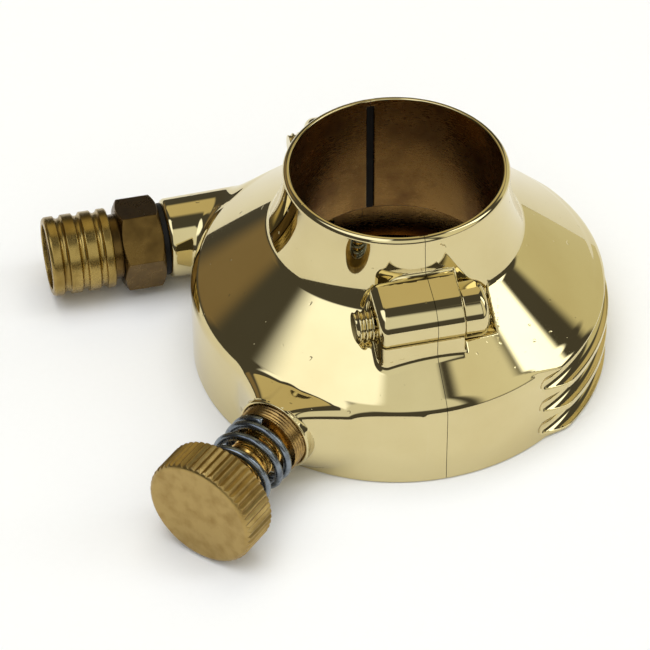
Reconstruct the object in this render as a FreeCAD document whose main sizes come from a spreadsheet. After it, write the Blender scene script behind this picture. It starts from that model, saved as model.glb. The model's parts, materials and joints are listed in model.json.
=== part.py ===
import FreeCAD, Part
import math
import os
import Sketcher

# Clamp-on air pressure regulator, millimetres.
# Frame: origin on the bore axis at the base plane, +Z up the neck, the two halves part at X = 0,
# the front seam lies at -Y, the coupler points to -X.

Vector = FreeCAD.Vector
Rotation = FreeCAD.Rotation
Placement = FreeCAD.Placement

SIZES = {
    # turned outside of the body
    "bore_radius": 19.0,
    "body_height": 42.1,
    "wall_radius": 37.4,
    "base_break": 0.4,
    "rim_radius": 20.3,
    "rim_round": 0.5,
    "cone_start_radius": 23.4,
    "cone_start_height": 28.07,
    "cone_angle": 38.4,
    "shoulder_round": 4.5,
    "neck_arc": 30.0,
    "neck_fillet": 3.5,
    "seam_half_gap": 0.05,
    # inside of the body
    "ledge_height": 16.5,
    "chamber_radius": 25.0,
    "recess_radius": 32.5,
    "recess_depth": 4.0,
    # cooling gills on the right half
    "gill_radius": 39.1,
    "gill_round": 4.0,
    "gill_floor": 0.35,
    "gill_cone_drop": 0.05,
    "gill_start_angle": -51.0,
    "gill_end_angle": 23.0,
    "gill_ramp_angle": 9.0,
    "groove_overrun_angle": 7.5,
    "groove_radius": 2.1,
    "groove_ring_radius": 38.9,
    "groove_first_height": 3.0,
    "groove_pitch": 5.45,
    # clamp lugs and screws
    "lug_offset": 25.0,
    "lug_height": 28.5,
    "lug_radius": 5.2,
    "lug_left": 10.4,
    "lug_right": 5.05,
    "lug_edge_round": 0.8,
    "pad_front_offset": 29.8,
    "pad_foot_height": 21.2,
    "pad_back_offset": 17.0,
    "pad_tangent_angle": 75.0,
    "screw_radius": 3.0,
    "screw_hole_radius": 3.05,
    "screw_head_radius": 5.0,
    "screw_head_length": 4.5,
    "screw_head_round": 1.5,
    "screw_socket_radius": 2.5,
    "screw_socket_depth": 2.5,
    "screw_tip_length": 3.5,
    "screw_hole_start": 16.0,
    "screw_hole_length": 21.1,
    "screw_thread_pitch": 1.15,
    "screw_thread_depth": 0.35,
    "head_pocket_radius": 5.3,
    "head_pocket_end": 11.5,
    # inlet boss
    "inlet_offset": 28.1,
    "inlet_height": 9.0,
    "inlet_end": 37.6,
    "inlet_end_radius": 7.5,
    "inlet_root": 4.0,
    "inlet_root_radius": 8.1,
    "inlet_end_round": 1.0,
    "inlet_thread_radius": 4.95,
    "inlet_thread_end": 28.5,
    "inlet_bore_radius": 3.0,
    "inlet_bore_end": 5.5,
    "port_radius": 3.0,
    "port_x": 8.5,
    "port_mouth": 20.0,
    # needle valve
    "needle_heading": 223.5,
    "needle_offset": 1.3,
    "needle_height": 10.7,
    "boss_radius": 7.15,
    "boss_root": 26.5,
    "boss_end": 42.0,
    "boss_edge": 0.3,
    "gland_bore_radius": 6.52,
    "gland_bore_start": 36.0,
    "valve_bore_radius": 4.6,
    "valve_bore_start": 27.8,
    "seat_bore_radius": 3.5,
    "seat_bore_start": 22.5,
    "seat_start": 24.9,
    "seat_radius": 3.48,
    "seat_cone_start": 26.4,
    "bleed_radius": 1.0,
    "bleed_station": 34.6,
    "bush_radius": 6.5,
    "bush_bore_radius": 4.06,
    "bush_end": 44.6,
    "bush_thread_pitch": 0.75,
    "bush_thread_depth": 0.3,
    "spindle_radius": 4.0,
    "spindle_end": 63.6,
    "needle_stem_radius": 2.0,
    "needle_tip_radius": 0.35,
    "needle_tip_start": 27.45,
    "needle_cone_end": 30.65,
    "spindle_shoulder": 34.2,
    "oring_station": 41.0,
    "oring_mean_radius": 3.45,
    "oring_tube_radius": 0.57,
    "oring_groove_half": 0.75,
    "oring_groove_radius": 2.86,
    "seat_orifice_radius": 0.9,
    "seat_mouth_radius": 1.9,
    # knob, washer and lock spring
    "knob_radius": 10.6,
    "knob_rear": 58.1,
    "knob_knurl_front": 64.2,
    "knob_front": 65.3,
    "knob_face_round": 1.1,
    "knob_rear_bevel": 0.5,
    "knob_teeth": 50,
    "knurl_depth": 0.42,
    "washer_rear": 57.0,
    "washer_thickness": 0.8,
    "washer_radius": 7.0,
    "washer_bore_radius": 4.1,
    "set_screw_radius": 1.5,
    "set_screw_outer": 9.4,
    "set_screw_inner": 4.05,
    "set_screw_hole_radius": 1.52,
    "knob_bore_radius": 4.02,
    "set_screw_station": 61.2,
    "lock_wire_radius": 0.75,
    "lock_mean_radius": 5.95,
    # quick coupler, stations counted outward along -X
    "gasket_radius": 6.8,
    "gasket_bore_radius": 5.0,
    "hex_start": 38.5,
    "hex_end": 46.5,
    "hex_half_flats": 7.5,
    "hex_circumradius": 8.66,
    "hex_turn_angle": -16.6,
    "hex_inner_bevel": 0.6,
    "hex_outer_bevel": 1.1,
    "nipple_end": 29.2,
    "nipple_radius": 4.9,
    "nipple_bore_radius": 2.2,
    "socket_root": 40.2,
    "socket_thread_radius": 5.2,
    "socket_hole_radius": 5.24,
    "socket_end_gap": 0.2,
    "collar_end": 47.9,
    "collar_radius": 6.1,
    "spring_zone_radius": 4.9,
    "spring_zone_end": 53.4,
    "barrel_radius": 5.5,
    "barrel_end": 59.3,
    "socket_bore_radius": 4.0,
    "web_start": 52.4,
    "web_end": 53.4,
    "web_bore_radius": 2.5,
    "valve_chamber_radius": 3.7,
    "ball_station": 56.1,
    "ball_radius": 1.0,
    "ball_hole_radius": 1.06,
    "ball_ring_radius": 4.55,
    "ball_count": 4,
    "seal_station": 54.4,
    "seal_groove_radius": 4.9,
    "seal_groove_half": 0.55,
    "seal_mean_radius": 4.36,
    "seal_tube_radius": 0.5,
    "clip_start": 58.5,
    "clip_end": 59.0,
    "clip_groove_radius": 5.05,
    "clip_gap": 0.1,
    "clip_radius": 6.0,
    "sleeve_start": 48.0,
    "sleeve_end": 60.0,
    "sleeve_radius": 7.48,
    "sleeve_groove_half": 0.685,
    "sleeve_groove_round": 0.691,
    "sleeve_groove_pitch": 3.45,
    "sleeve_groove_count": 3,
    "sleeve_first_groove": 50.3,
    "sleeve_edge": 0.35,
    "sleeve_nose": 0.7,
    "sleeve_chamber_radius": 6.3,
    "sleeve_chamber_end": 53.7,
    "sleeve_land_radius": 5.58,
    "sleeve_land_end": 55.75,
    "sleeve_recess_start": 57.2,
    "sleeve_recess_radius": 6.15,
    "sleeve_stop_start": 58.12,
    "sleeve_stop_end": 58.32,
    "sleeve_stop_radius": 5.75,
    "sleeve_spring_wire": 0.4,
    "sleeve_spring_mean": 5.6,
    "poppet_radius": 3.2,
    "poppet_front": 51.6,
    "poppet_back": 50.4,
    "poppet_stem_radius": 1.4,
    "poppet_stem_end": 44.5,
    "poppet_seal_radius": 3.1,
    "poppet_seal_front": 52.1,
    "poppet_nose_radius": 1.6,
    "poppet_nose_front": 53.2,
    "poppet_spring_wire": 0.3,
    "poppet_spring_mean": 2.5,
    # base cover
    "cover_thickness": 3.2,
    "cover_radius": 32.2,
    "cover_bore_radius": 19.4,
    "gasket_ring_inner": 26.0,
    "cover_screw_ring": 29.3,
    "cover_screw_radius": 1.5,
    "cover_screw_head": 2.7,
    "cover_screw_gap": 0.06,
    "cover_screw_head_depth": 1.5,
    "cover_screw_top": 8.5,
    "tube_seal_inner": 19.1,
    "tube_seal_outer": 21.6,
    "tube_seal_top": 5.2,
    # dowels and seam seals
    "dowel_offset": 33.8,
    "dowel_height": 6.5,
    "dowel_radius": 1.25,
    "dowel_half_length": 4.0,
    "dowel_gap": 0.03,
    "dowel_end_gap": 0.1,
    "chamber_inside": 18.5,
    "seal_slot_half": 0.65,
    "seal_slot_depth": 19.85,
    "seal_slot_top": 40.6,
    "seal_strip_inner": 19.25,
}


def tangent_sizes(sizes):
    """Adds the points where the shoulder and neck arcs touch the cone, and the pad the lug."""
    angle = math.radians(sizes["cone_angle"])
    normal_r, normal_z = math.sin(angle), math.cos(angle)

    def cone_height(radius):
        drop = (radius - sizes["cone_start_radius"]) * math.tan(angle)
        return sizes["cone_start_height"] - drop

    for part_name in ("shoulder", "gill"):
        outer = "wall_radius" if part_name == "shoulder" else "gill_radius"
        rounding = sizes[part_name + "_round"]
        centre_r = sizes[outer] - rounding
        centre_z = cone_height(centre_r) - rounding / normal_z
        if part_name == "gill":
            centre_z -= sizes["gill_cone_drop"]
        sizes[part_name + "_wall_top"] = centre_z
        sizes[part_name + "_cone_radius"] = centre_r + rounding * normal_r
        sizes[part_name + "_cone_height"] = centre_z + rounding * normal_z
    arc, fillet = sizes["neck_arc"], sizes["neck_fillet"]
    arc_r = sizes["rim_radius"] + arc
    arc_z = sizes["body_height"] - sizes["rim_round"]
    reach = (arc_r - sizes["cone_start_radius"]) * normal_r
    reach += (arc_z - sizes["cone_start_height"]) * normal_z
    slope = math.asin((reach - fillet) / (arc - fillet)) - angle
    sizes["neck_joint_radius"] = arc_r - arc * math.cos(slope)
    sizes["neck_joint_height"] = arc_z - arc * math.sin(slope)
    fillet_r = arc_r - (arc - fillet) * math.cos(slope)
    fillet_z = arc_z - (arc - fillet) * math.sin(slope)
    sizes["neck_cone_radius"] = fillet_r - fillet * normal_r
    sizes["neck_cone_height"] = fillet_z - fillet * normal_z
    lean = math.radians(sizes["pad_tangent_angle"])
    sizes["pad_top_offset"] = sizes["lug_offset"] + sizes["lug_radius"] * math.cos(lean)
    sizes["pad_top_height"] = sizes["lug_height"] + sizes["lug_radius"] * math.sin(lean)
    back_run = sizes["pad_top_offset"] - sizes["pad_back_offset"]
    sizes["pad_back_height"] = sizes["pad_top_height"] + back_run / math.tan(lean)


tangent_sizes(SIZES)

doc = FreeCAD.newDocument("AirPressureRegulator")
sheet = doc.addObject("Spreadsheet::Sheet", "Sizes")
for row, (alias, value) in enumerate(SIZES.items(), start=1):
    sheet.set("A%d" % row, alias)
    sheet.set("B%d" % row, repr(round(value, 6)))
    sheet.setAlias("B%d" % row, alias)
doc.recompute()


def split_term(term):
    """Sign, multiplier and sheet name of a term such as -2*groove_pitch."""
    sign = "-" if term.startswith("-") else "+"
    factor, _, name = term.lstrip("-").rpartition("*")
    return sign, float(factor or 1), name


def size(terms):
    """Value of a sum of sheet names such as "knob_front -0.5*knob_face_round" (blank is zero)."""
    total = 0.0
    for term in terms.split():
        sign, factor, name = split_term(term)
        total += (factor if sign == "+" else -factor) * float(sheet.get(name))
    return total


def formula(terms):
    """The same sum as an expression on the sheet."""
    text = ""
    for term in terms.split():
        sign, factor, name = split_term(term)
        text += " %s %s * Sizes.%s" % (sign, repr(factor), name)
    return text.strip().lstrip("+").strip()


def bind(item, **properties):
    """Binds properties of a document object to sums of sheet names."""
    for name, terms in properties.items():
        item.setExpression(name, formula(terms))
    return item


def origin_plane(body, role):
    for feature in body.Origin.OriginFeatures:
        if feature.Role == role:
            return feature


def add_outline(sketch, outline):
    """Draws a closed outline. A corner is (x, y) or (x, y, arc radius, side of the centre)."""
    count = len(outline)
    corners = [Vector(size(c[0]), size(c[1]), 0) for c in outline]
    for index in range(count):
        start, end = corners[index], corners[(index + 1) % count]
        target = outline[(index + 1) % count]
        if len(target) == 2:
            sketch.addGeometry(Part.LineSegment(start, end), False)
            continue
        radius, side = size(target[2]), target[3]
        chord = end - start
        height = math.sqrt(max(radius ** 2 - (chord.Length / 2) ** 2, 0.0))
        left = Vector(-chord.y, chord.x, 0).normalize()
        centre = (start + end) / 2 + left * height * side
        a = math.atan2(start.y - centre.y, start.x - centre.x)
        b = math.atan2(end.y - centre.y, end.x - centre.x)
        circle = Part.Circle(centre, Vector(0, 0, 1), radius)
        first, last = (a, b) if side > 0 else (b, a)
        sketch.addGeometry(Part.ArcOfCircle(circle, first, last), False)
    sides = [outline[(i + 1) % count][3] if len(outline[(i + 1) % count]) > 2 else 1 for i in range(count)]
    for index in range(count):
        following = (index + 1) % count
        end_point = 2 if sides[index] > 0 else 1
        start_point = 1 if sides[following] > 0 else 2
        sketch.addConstraint(
            Sketcher.Constraint("Coincident", index, end_point, following, start_point)
        )
    for index, corner in enumerate(outline):
        point = 1 if sides[index] > 0 else 2
        for kind, terms, axis in (("DistanceX", corner[0], -2), ("DistanceY", corner[1], -1)):
            if not terms:
                sketch.addConstraint(Sketcher.Constraint("PointOnObject", index, point, axis))
                continue
            number = sketch.addConstraint(
                Sketcher.Constraint(kind, -1, 1, index, point, size(terms))
            )
            sketch.setExpression("Constraints[%d]" % number, formula(terms))
    for index in range(count):
        target = outline[(index + 1) % count]
        if len(target) > 2:
            number = sketch.addConstraint(Sketcher.Constraint("Radius", index, size(target[2])))
            sketch.setExpression("Constraints[%d]" % number, formula(target[2]))


def sketch_on(body, role, name, outline):
    sketch = body.newObject("Sketcher::SketchObject", name)
    sketch.AttachmentSupport = [(origin_plane(body, role), "")]
    sketch.MapMode = "FlatFace"
    add_outline(sketch, outline)
    return sketch


def turned(name, outline, placement=None):
    """A piece turned about its own Z axis from an outline of (radius, station) corners."""
    body = doc.addObject("PartDesign::Body", name)
    sketch = sketch_on(body, "XZ_Plane", name + "_profile", outline)
    turn = body.newObject("PartDesign::Revolution", name + "_turn")
    turn.Profile = sketch
    turn.ReferenceAxis = (sketch, ["V_Axis"])
    turn.Angle = 360.0
    sketch.Visibility = False
    if placement is not None:
        body.Placement = placement
    return body


def padded(name, role, outline, length, midplane=False, placement=None, reverse=False):
    """A piece extruded from an outline on one of its origin planes."""
    body = doc.addObject("PartDesign::Body", name)
    sketch = sketch_on(body, role, name + "_profile", outline)
    pad = body.newObject("PartDesign::Pad", name + "_pad")
    pad.Profile = sketch
    pad.Midplane = midplane
    pad.Reversed = reverse
    pad.setExpression("Length", formula(length))
    if placement is not None:
        body.Placement = placement
    return body


def cylinder(name, radius, height, placement):
    rod = doc.addObject("Part::Cylinder", name)
    bind(rod, Radius=radius, Height=height)
    rod.Placement = placement
    return rod


def cut(name, base, tools):
    """One Part::Cut per tool, the last one carrying the name."""
    result = base
    for index, tool in enumerate(tools, start=1):
        step = doc.addObject("Part::Cut", name if index == len(tools) else "%s_cut_%d" % (name, index))
        step.Base = result
        step.Tool = tool
        result = step
    return result


def fuse(name, shapes):
    result = doc.addObject("Part::MultiFuse", name)
    result.Shapes = shapes
    return result


def common(name, first, second):
    result = doc.addObject("Part::MultiCommon", name)
    result.Shapes = [first, second]
    return result


def shape_piece(name, shape, placement=None):
    piece = doc.addObject("Part::Feature", name)
    piece.Shape = shape
    if placement is not None:
        piece.Placement = placement
    return piece


def along(direction, point=Vector(0, 0, 0)):
    """Placement that sends local +Z to the direction through the point."""
    return Placement(point, Rotation(Vector(0, 0, 1), direction))


# ---- frames of the three tool axes ----

heading = math.radians(size("needle_heading"))
needle_direction = Vector(math.cos(heading), math.sin(heading), 0)
needle_side = Vector(-math.sin(heading), math.cos(heading), 0)
needle_foot = needle_side * size("needle_offset") + Vector(0, 0, size("needle_height"))
# local X across, local Y up, local Z outward along the needle
needle_turn = Rotation(needle_side, Vector(0, 0, 1), needle_direction, "ZXY")
needle_frame = Placement(needle_foot, needle_turn)


def at_needle(station):
    return Placement(needle_foot + needle_direction * size(station), needle_turn)


inlet_frame = along(Vector(-1, 0, 0), Vector(0, size("inlet_offset"), size("inlet_height")))


def at_inlet(station):
    centre = Vector(-size(station), size("inlet_offset"), size("inlet_height"))
    return along(Vector(-1, 0, 0), centre)


# ---- body blank ----

turned_blank = turned("turned_blank", [
    ("", ""),
    ("wall_radius -base_break", ""),
    ("wall_radius", "base_break"),
    ("wall_radius", "shoulder_wall_top"),
    ("shoulder_cone_radius", "shoulder_cone_height", "shoulder_round", 1),
    ("neck_cone_radius", "neck_cone_height"),
    ("neck_joint_radius", "neck_joint_height", "neck_fillet", -1),
    ("rim_radius", "body_height -rim_round", "neck_arc", -1),
    ("rim_radius -rim_round", "body_height", "rim_round", 1),
    ("", "body_height"),
])

gill_ring = turned("gill_ring", [
    ("", "gill_floor"),
    ("gill_radius -base_break", "gill_floor"),
    ("gill_radius", "gill_floor base_break"),
    ("gill_radius", "gill_wall_top"),
    ("gill_cone_radius", "gill_cone_height", "gill_round", 1),
    ("neck_cone_radius", "neck_cone_height -gill_cone_drop"),
    ("", "neck_cone_height -gill_cone_drop"),
])


def gill_sector():
    """Plan of the raised sector: ramps out of the wall at both ends."""
    start, end = size("gill_start_angle"), size("gill_end_angle")
    ramp, raised, low = size("gill_ramp_angle"), size("gill_radius") + 0.05, size("wall_radius") - 0.25
    far = size("gill_radius") * 1.4
    plan = [(low, start - ramp), (raised, start), (far, start + ramp), (far, 0)]
    plan += [(far, end - ramp), (raised, end), (low, end + ramp)]
    points = [Vector(0, 0, 0)]
    for radius, angle in plan:
        turn = math.radians(angle)
        points.append(Vector(radius * math.cos(turn), radius * math.sin(turn), 0))
    points.append(points[0])
    return Part.Face(Part.makePolygon(points)).extrude(Vector(0, 0, size("body_height")))


gill_plan = shape_piece("gill_plan", gill_sector())
gill_block = common("gill_block", gill_ring, gill_plan)


across = Rotation(Vector(0, 0, 1), Vector(1, 0, 0))
front_lug_barrel = turned("front_lug_barrel", [
    ("", ""),
    ("lug_radius -lug_edge_round", ""),
    ("lug_radius", "lug_edge_round", "lug_edge_round", 1),
    ("lug_radius", "lug_left lug_right"),
    ("", "lug_left lug_right"),
], Placement(Vector(-size("lug_left"), -size("lug_offset"), size("lug_height")), across))
front_lug_pad = padded("front_lug_pad", "YZ_Plane", [
    ("-pad_top_offset", "pad_top_height"),
    ("-pad_front_offset", "lug_height"),
    ("-pad_front_offset", "pad_foot_height"),
    ("-pad_back_offset", "pad_foot_height"),
    ("-pad_back_offset", "pad_back_height"),
], "lug_left lug_right", placement=Placement(Vector(-size("lug_left"), 0, 0), Rotation()))
front_lug = fuse("front_lug", [front_lug_barrel, front_lug_pad])
rear_lug = doc.addObject("Part::Mirroring", "rear_lug")
rear_lug.Source = front_lug
rear_lug.Normal = Vector(0, 1, 0)

needle_boss = turned("needle_boss", [
    ("", "boss_root"),
    ("boss_radius", "boss_root"),
    ("boss_radius", "boss_end -boss_edge"),
    ("boss_radius -boss_edge", "boss_end"),
    ("", "boss_end"),
], needle_frame)

# flare that leads the boss into the wall: station, half width, reach up, reach down
FLARE = [
    (29.0, 23.0, 6.6, 17.0),
    (33.0, 16.4, 6.6, 13.5),
    (36.0, 12.0, 6.4, 11.6),
    (39.0, 8.7, 6.2, 8.6),
    (41.6, 6.6, 5.8, 6.4),
]


def flare_shape():
    sections = []
    for station, half_width, up, down in FLARE:
        centre = Vector(0, (up - down) / 2, station)
        half_height = (up + down) / 2
        if half_width >= half_height:
            axes = (Vector(half_width, 0, 0), Vector(0, half_height, 0))
        else:
            axes = (Vector(0, half_height, 0), Vector(-half_width, 0, 0))
        if abs(half_width - half_height) < 1e-6:
            curve = Part.Circle(centre, Vector(0, 0, 1), half_width)
        else:
            curve = Part.Ellipse(centre + axes[0], centre + axes[1], centre)
        sections.append(Part.Wire(curve.toShape()))
    horn = Part.makeLoft(sections, True)
    horn.Placement = needle_frame
    floor = Part.makeCylinder(size("boss_end") * 2, size("body_height"), Vector(0, 0, size("gill_floor")))
    return horn.common(floor)


needle_flare = shape_piece("needle_flare", flare_shape())

inlet_boss = turned("inlet_boss", [
    ("", "inlet_root"),
    ("inlet_root_radius", "inlet_root"),
    ("inlet_end_radius", "inlet_end -inlet_end_round"),
    ("inlet_end_radius -inlet_end_round", "inlet_end", "inlet_end_round", 1),
    ("", "inlet_end"),
], inlet_frame)

blank = fuse("blank", [
    turned_blank, gill_block, front_lug, rear_lug, needle_boss, needle_flare, inlet_boss,
])

# ---- cavities of the body ----

main_cavity = turned("main_cavity", [
    ("", "-base_break"),
    ("recess_radius", "-base_break"),
    ("recess_radius", "recess_depth"),
    ("chamber_radius", "recess_depth"),
    ("chamber_radius", "ledge_height"),
    ("bore_radius", "ledge_height"),
    ("bore_radius", "body_height -base_break"),
    ("bore_radius base_break", "body_height"),
    ("bore_radius base_break", "body_height base_break"),
    ("", "body_height base_break"),
])

needle_cavity = turned("needle_cavity", [
    ("", "seat_bore_start"),
    ("seat_bore_radius", "seat_bore_start"),
    ("seat_bore_radius", "valve_bore_start"),
    ("valve_bore_radius", "valve_bore_start"),
    ("valve_bore_radius", "gland_bore_start"),
    ("gland_bore_radius", "gland_bore_start"),
    ("gland_bore_radius", "boss_end boss_edge"),
    ("", "boss_end boss_edge"),
], needle_frame)

inlet_cavity = turned("inlet_cavity", [
    ("", "inlet_bore_end"),
    ("inlet_bore_radius", "inlet_bore_end"),
    ("inlet_bore_radius", "inlet_thread_end"),
    ("inlet_thread_radius", "inlet_thread_end"),
    ("inlet_thread_radius", "inlet_end inlet_end_round"),
    ("", "inlet_end inlet_end_round"),
], inlet_frame)

port = cylinder("inlet_port", "port_radius", "inlet_offset -port_mouth", Placement(
    Vector(-size("port_x"), size("inlet_offset"), size("inlet_height")),
    Rotation(Vector(0, 0, 1), Vector(0, -1, 0))))
bleed_point = at_needle("bleed_station").Base
bleed = cylinder("bleed_hole", "bleed_radius", "needle_height base_break", Placement(
    Vector(bleed_point.x, bleed_point.y, -size("base_break")), Rotation()))

holes = [main_cavity, needle_cavity, inlet_cavity, port, bleed]
for side_name, side in (("front", -1), ("rear", 1)):
    screw_line = Vector(0, side * size("lug_offset"), size("lug_height"))
    holes.append(cylinder(side_name + "_screw_hole", "screw_hole_radius", "screw_hole_length", Placement(
        screw_line + Vector(-size("screw_hole_start"), 0, 0), across)))
    holes.append(cylinder(side_name + "_head_pocket", "head_pocket_radius", "head_pocket_end -lug_right",
                          Placement(screw_line + Vector(size("lug_right"), 0, 0), across)))
    dowel_start = Vector(-size("dowel_half_length dowel_end_gap"), side * size("dowel_offset"),
                         size("dowel_height"))
    holes.append(cylinder(side_name + "_dowel_hole", "dowel_radius dowel_gap",
                          "2*dowel_half_length 2*dowel_end_gap", Placement(dowel_start, across)))
    slot = doc.addObject("Part::Box", side_name + "_seal_slot")
    bind(slot, Length="2*seal_slot_half", Width="seal_slot_depth -chamber_inside",
         Height="seal_slot_top -ledge_height")
    slot_start = size("chamber_inside") if side > 0 else -size("seal_slot_depth")
    slot.Placement = Placement(Vector(-size("seal_slot_half"), slot_start, size("ledge_height")), Rotation())
    holes.append(slot)

COVER_SCREW_ANGLES = (8, 50, 130, 172, 242, 298)


def cover_screw_place(angle, height):
    turn = math.radians(angle)
    reach = size("cover_screw_ring")
    return Placement(Vector(reach * math.cos(turn), reach * math.sin(turn), height), Rotation())


for angle in COVER_SCREW_ANGLES:
    holes.append(cylinder("tapped_hole_%d" % angle, "cover_screw_radius cover_screw_gap",
                          "cover_screw_top cover_screw_gap",
                          cover_screw_place(angle, 0)))

groove_start = size("gill_start_angle -groove_overrun_angle")
groove_sweep = size("gill_end_angle groove_overrun_angle") - groove_start
for index in range(3):
    level = size("groove_first_height") + index * size("groove_pitch")
    groove = doc.addObject("Part::Torus", "gill_groove_%d" % (index + 1))
    bind(groove, Radius1="groove_ring_radius", Radius2="groove_radius")
    groove.Angle3 = groove_sweep
    groove.Placement = Placement(Vector(0, 0, level), Rotation(Vector(0, 0, 1), groove_start))
    holes.append(groove)
    for end_name, end_angle in (("start", groove_start), ("end", groove_start + groove_sweep)):
        ball = doc.addObject("Part::Sphere", "groove_%d_%s" % (index + 1, end_name))
        bind(ball, Radius="groove_radius")
        turn = math.radians(end_angle)
        reach = size("groove_ring_radius")
        ball.Placement = Placement(Vector(reach * math.cos(turn), reach * math.sin(turn), level), Rotation())
        holes.append(ball)

body_solid = cut("body_solid", blank, holes)


def half_space(name, side):
    """Box that keeps one side of the seam, a hair off the middle plane."""
    box = doc.addObject("Part::Box", name)
    bind(box, Length="2*body_height", Width="4*body_height", Height="2*body_height")
    start = size("seam_half_gap") if side > 0 else -size("2*body_height seam_half_gap")
    box.Placement = Placement(Vector(start, -size("2*body_height"), -size("0.5*body_height")), Rotation())
    return box


body_left = common("body_left", body_solid, half_space("left_side", -1))
body_right = common("body_right", body_solid, half_space("right_side", 1))
PIECES = [body_left, body_right]


# ---- clamp screws, dowels, seam seals ----

def clamp_screw(name, side):
    """Cap screw along X: head to the right, tip with open threads to the left."""
    outline = [
        ("", "-lug_left -screw_tip_length"),
        ("screw_radius -2*screw_thread_depth", "-lug_left -screw_tip_length"),
    ]
    for index in (3, 2, 1):
        outline.append(("screw_radius", "-lug_left -%s*screw_thread_pitch" % (index - 0.35)))
        outline.append(("screw_radius", "-lug_left -%s*screw_thread_pitch" % (index - 0.55)))
        outline.append(("screw_radius -screw_thread_depth",
                        "-lug_left -%s*screw_thread_pitch" % (index - 0.9)))
    outline += [
        ("screw_radius", "-lug_left"),
        ("screw_radius", "lug_right"),
        ("screw_head_radius", "lug_right"),
        ("screw_head_radius", "lug_right screw_head_length -screw_head_round"),
        ("screw_head_radius -screw_head_round", "lug_right screw_head_length", "screw_head_round", 1),
        ("", "lug_right screw_head_length"),
    ]
    place = Placement(Vector(0, side * size("lug_offset"), size("lug_height")), across)
    turned_screw = turned(name + "_turned", outline, place)
    key = doc.addObject("Part::Prism", name + "_socket")
    key.Polygon = 6
    bind(key, Circumradius="screw_socket_radius", Height="screw_socket_depth base_break")
    key.Placement = Placement(
        Vector(size("lug_right screw_head_length -screw_socket_depth"), side * size("lug_offset"),
               size("lug_height")), across)
    return cut(name, turned_screw, [key])


front_screw = clamp_screw("front_clamp_screw", -1)
rear_screw = clamp_screw("rear_clamp_screw", 1)
PIECES += [front_screw, rear_screw]

for side_name, side in (("front", -1), ("rear", 1)):
    dowel_start = Vector(-size("dowel_half_length"), side * size("dowel_offset"), size("dowel_height"))
    PIECES.append(cylinder(side_name + "_dowel", "dowel_radius", "2*dowel_half_length",
                           Placement(dowel_start, across)))
    strip = doc.addObject("Part::Box", side_name + "_seam_seal")
    bind(strip, Length="2*seal_slot_half -2*seam_half_gap", Width="seal_slot_depth -seal_strip_inner",
         Height="seal_slot_top -ledge_height")
    strip_start = size("seal_strip_inner") if side > 0 else -size("seal_slot_depth")
    strip.Placement = Placement(
        Vector(-size("seal_slot_half -seam_half_gap"), strip_start, size("ledge_height")), Rotation())
    PIECES.append(strip)

# ---- base: cover halves, gasket, screws, tube seal ----

cover_ring = turned("cover_ring", [
    ("cover_bore_radius", ""),
    ("cover_radius", ""),
    ("cover_radius", "cover_thickness"),
    ("cover_bore_radius", "cover_thickness"),
])
cover_holes = []
gasket_holes = []
screw_shapes = []
for angle in COVER_SCREW_ANGLES:
    cover_holes.append(cylinder("cover_hole_%d" % angle, "cover_screw_radius cover_screw_gap",
                                "cover_thickness", cover_screw_place(angle, 0)))
    cover_holes.append(cylinder("cover_sink_%d" % angle, "cover_screw_head cover_screw_gap",
                                "cover_screw_head_depth", cover_screw_place(angle, 0)))
    gasket_holes.append(cylinder("gasket_hole_%d" % angle, "cover_screw_radius cover_screw_gap",
                                 "recess_depth", cover_screw_place(angle, 0)))
    screw_shapes.append(cylinder("screw_shank_%d" % angle, "cover_screw_radius",
                                 "cover_screw_top -base_break",
                                 cover_screw_place(angle, size("base_break"))))
    screw_shapes.append(cylinder("screw_cap_%d" % angle, "cover_screw_head",
                                 "cover_screw_head_depth -0.5*base_break",
                                 cover_screw_place(angle, size("0.5*base_break"))))
cover_drilled = cut("cover_drilled", cover_ring, cover_holes)
PIECES.append(common("base_cover_left", cover_drilled, half_space("cover_left_side", -1)))
PIECES.append(common("base_cover_right", cover_drilled, half_space("cover_right_side", 1)))
base_gasket_ring = turned("base_gasket_ring", [
    ("gasket_ring_inner", "cover_thickness"),
    ("cover_radius", "cover_thickness"),
    ("cover_radius", "recess_depth"),
    ("gasket_ring_inner", "recess_depth"),
])
PIECES.append(cut("base_gasket", base_gasket_ring, gasket_holes))
PIECES.append(fuse("base_screws", screw_shapes))
PIECES.append(turned("tube_seal", [
    ("tube_seal_inner", "cover_thickness"),
    ("tube_seal_outer", "cover_thickness"),
    ("tube_seal_outer", "tube_seal_top"),
    ("tube_seal_inner", "tube_seal_top"),
]))

# ---- needle valve ----

PIECES.append(turned("valve_seat", [
    ("seat_orifice_radius", "seat_start"),
    ("seat_radius", "seat_start"),
    ("seat_radius", "valve_bore_start"),
    ("seat_mouth_radius", "valve_bore_start"),
    ("seat_orifice_radius", "seat_cone_start"),
], needle_frame))

bush_outline = [
    ("bush_bore_radius", "gland_bore_start"),
    ("bush_radius", "gland_bore_start"),
    ("bush_radius", "boss_end"),
]
for index in range(3):
    bush_outline += [
        ("bush_radius -bush_thread_depth", "boss_end %s*bush_thread_pitch" % (index + 0.5)),
        ("bush_radius", "boss_end %s*bush_thread_pitch" % (index + 1)),
    ]
bush_outline += [
    ("bush_radius -bush_thread_depth", "bush_end"),
    ("bush_bore_radius", "bush_end"),
]
PIECES.append(turned("gland_bush", bush_outline, needle_frame))

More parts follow.
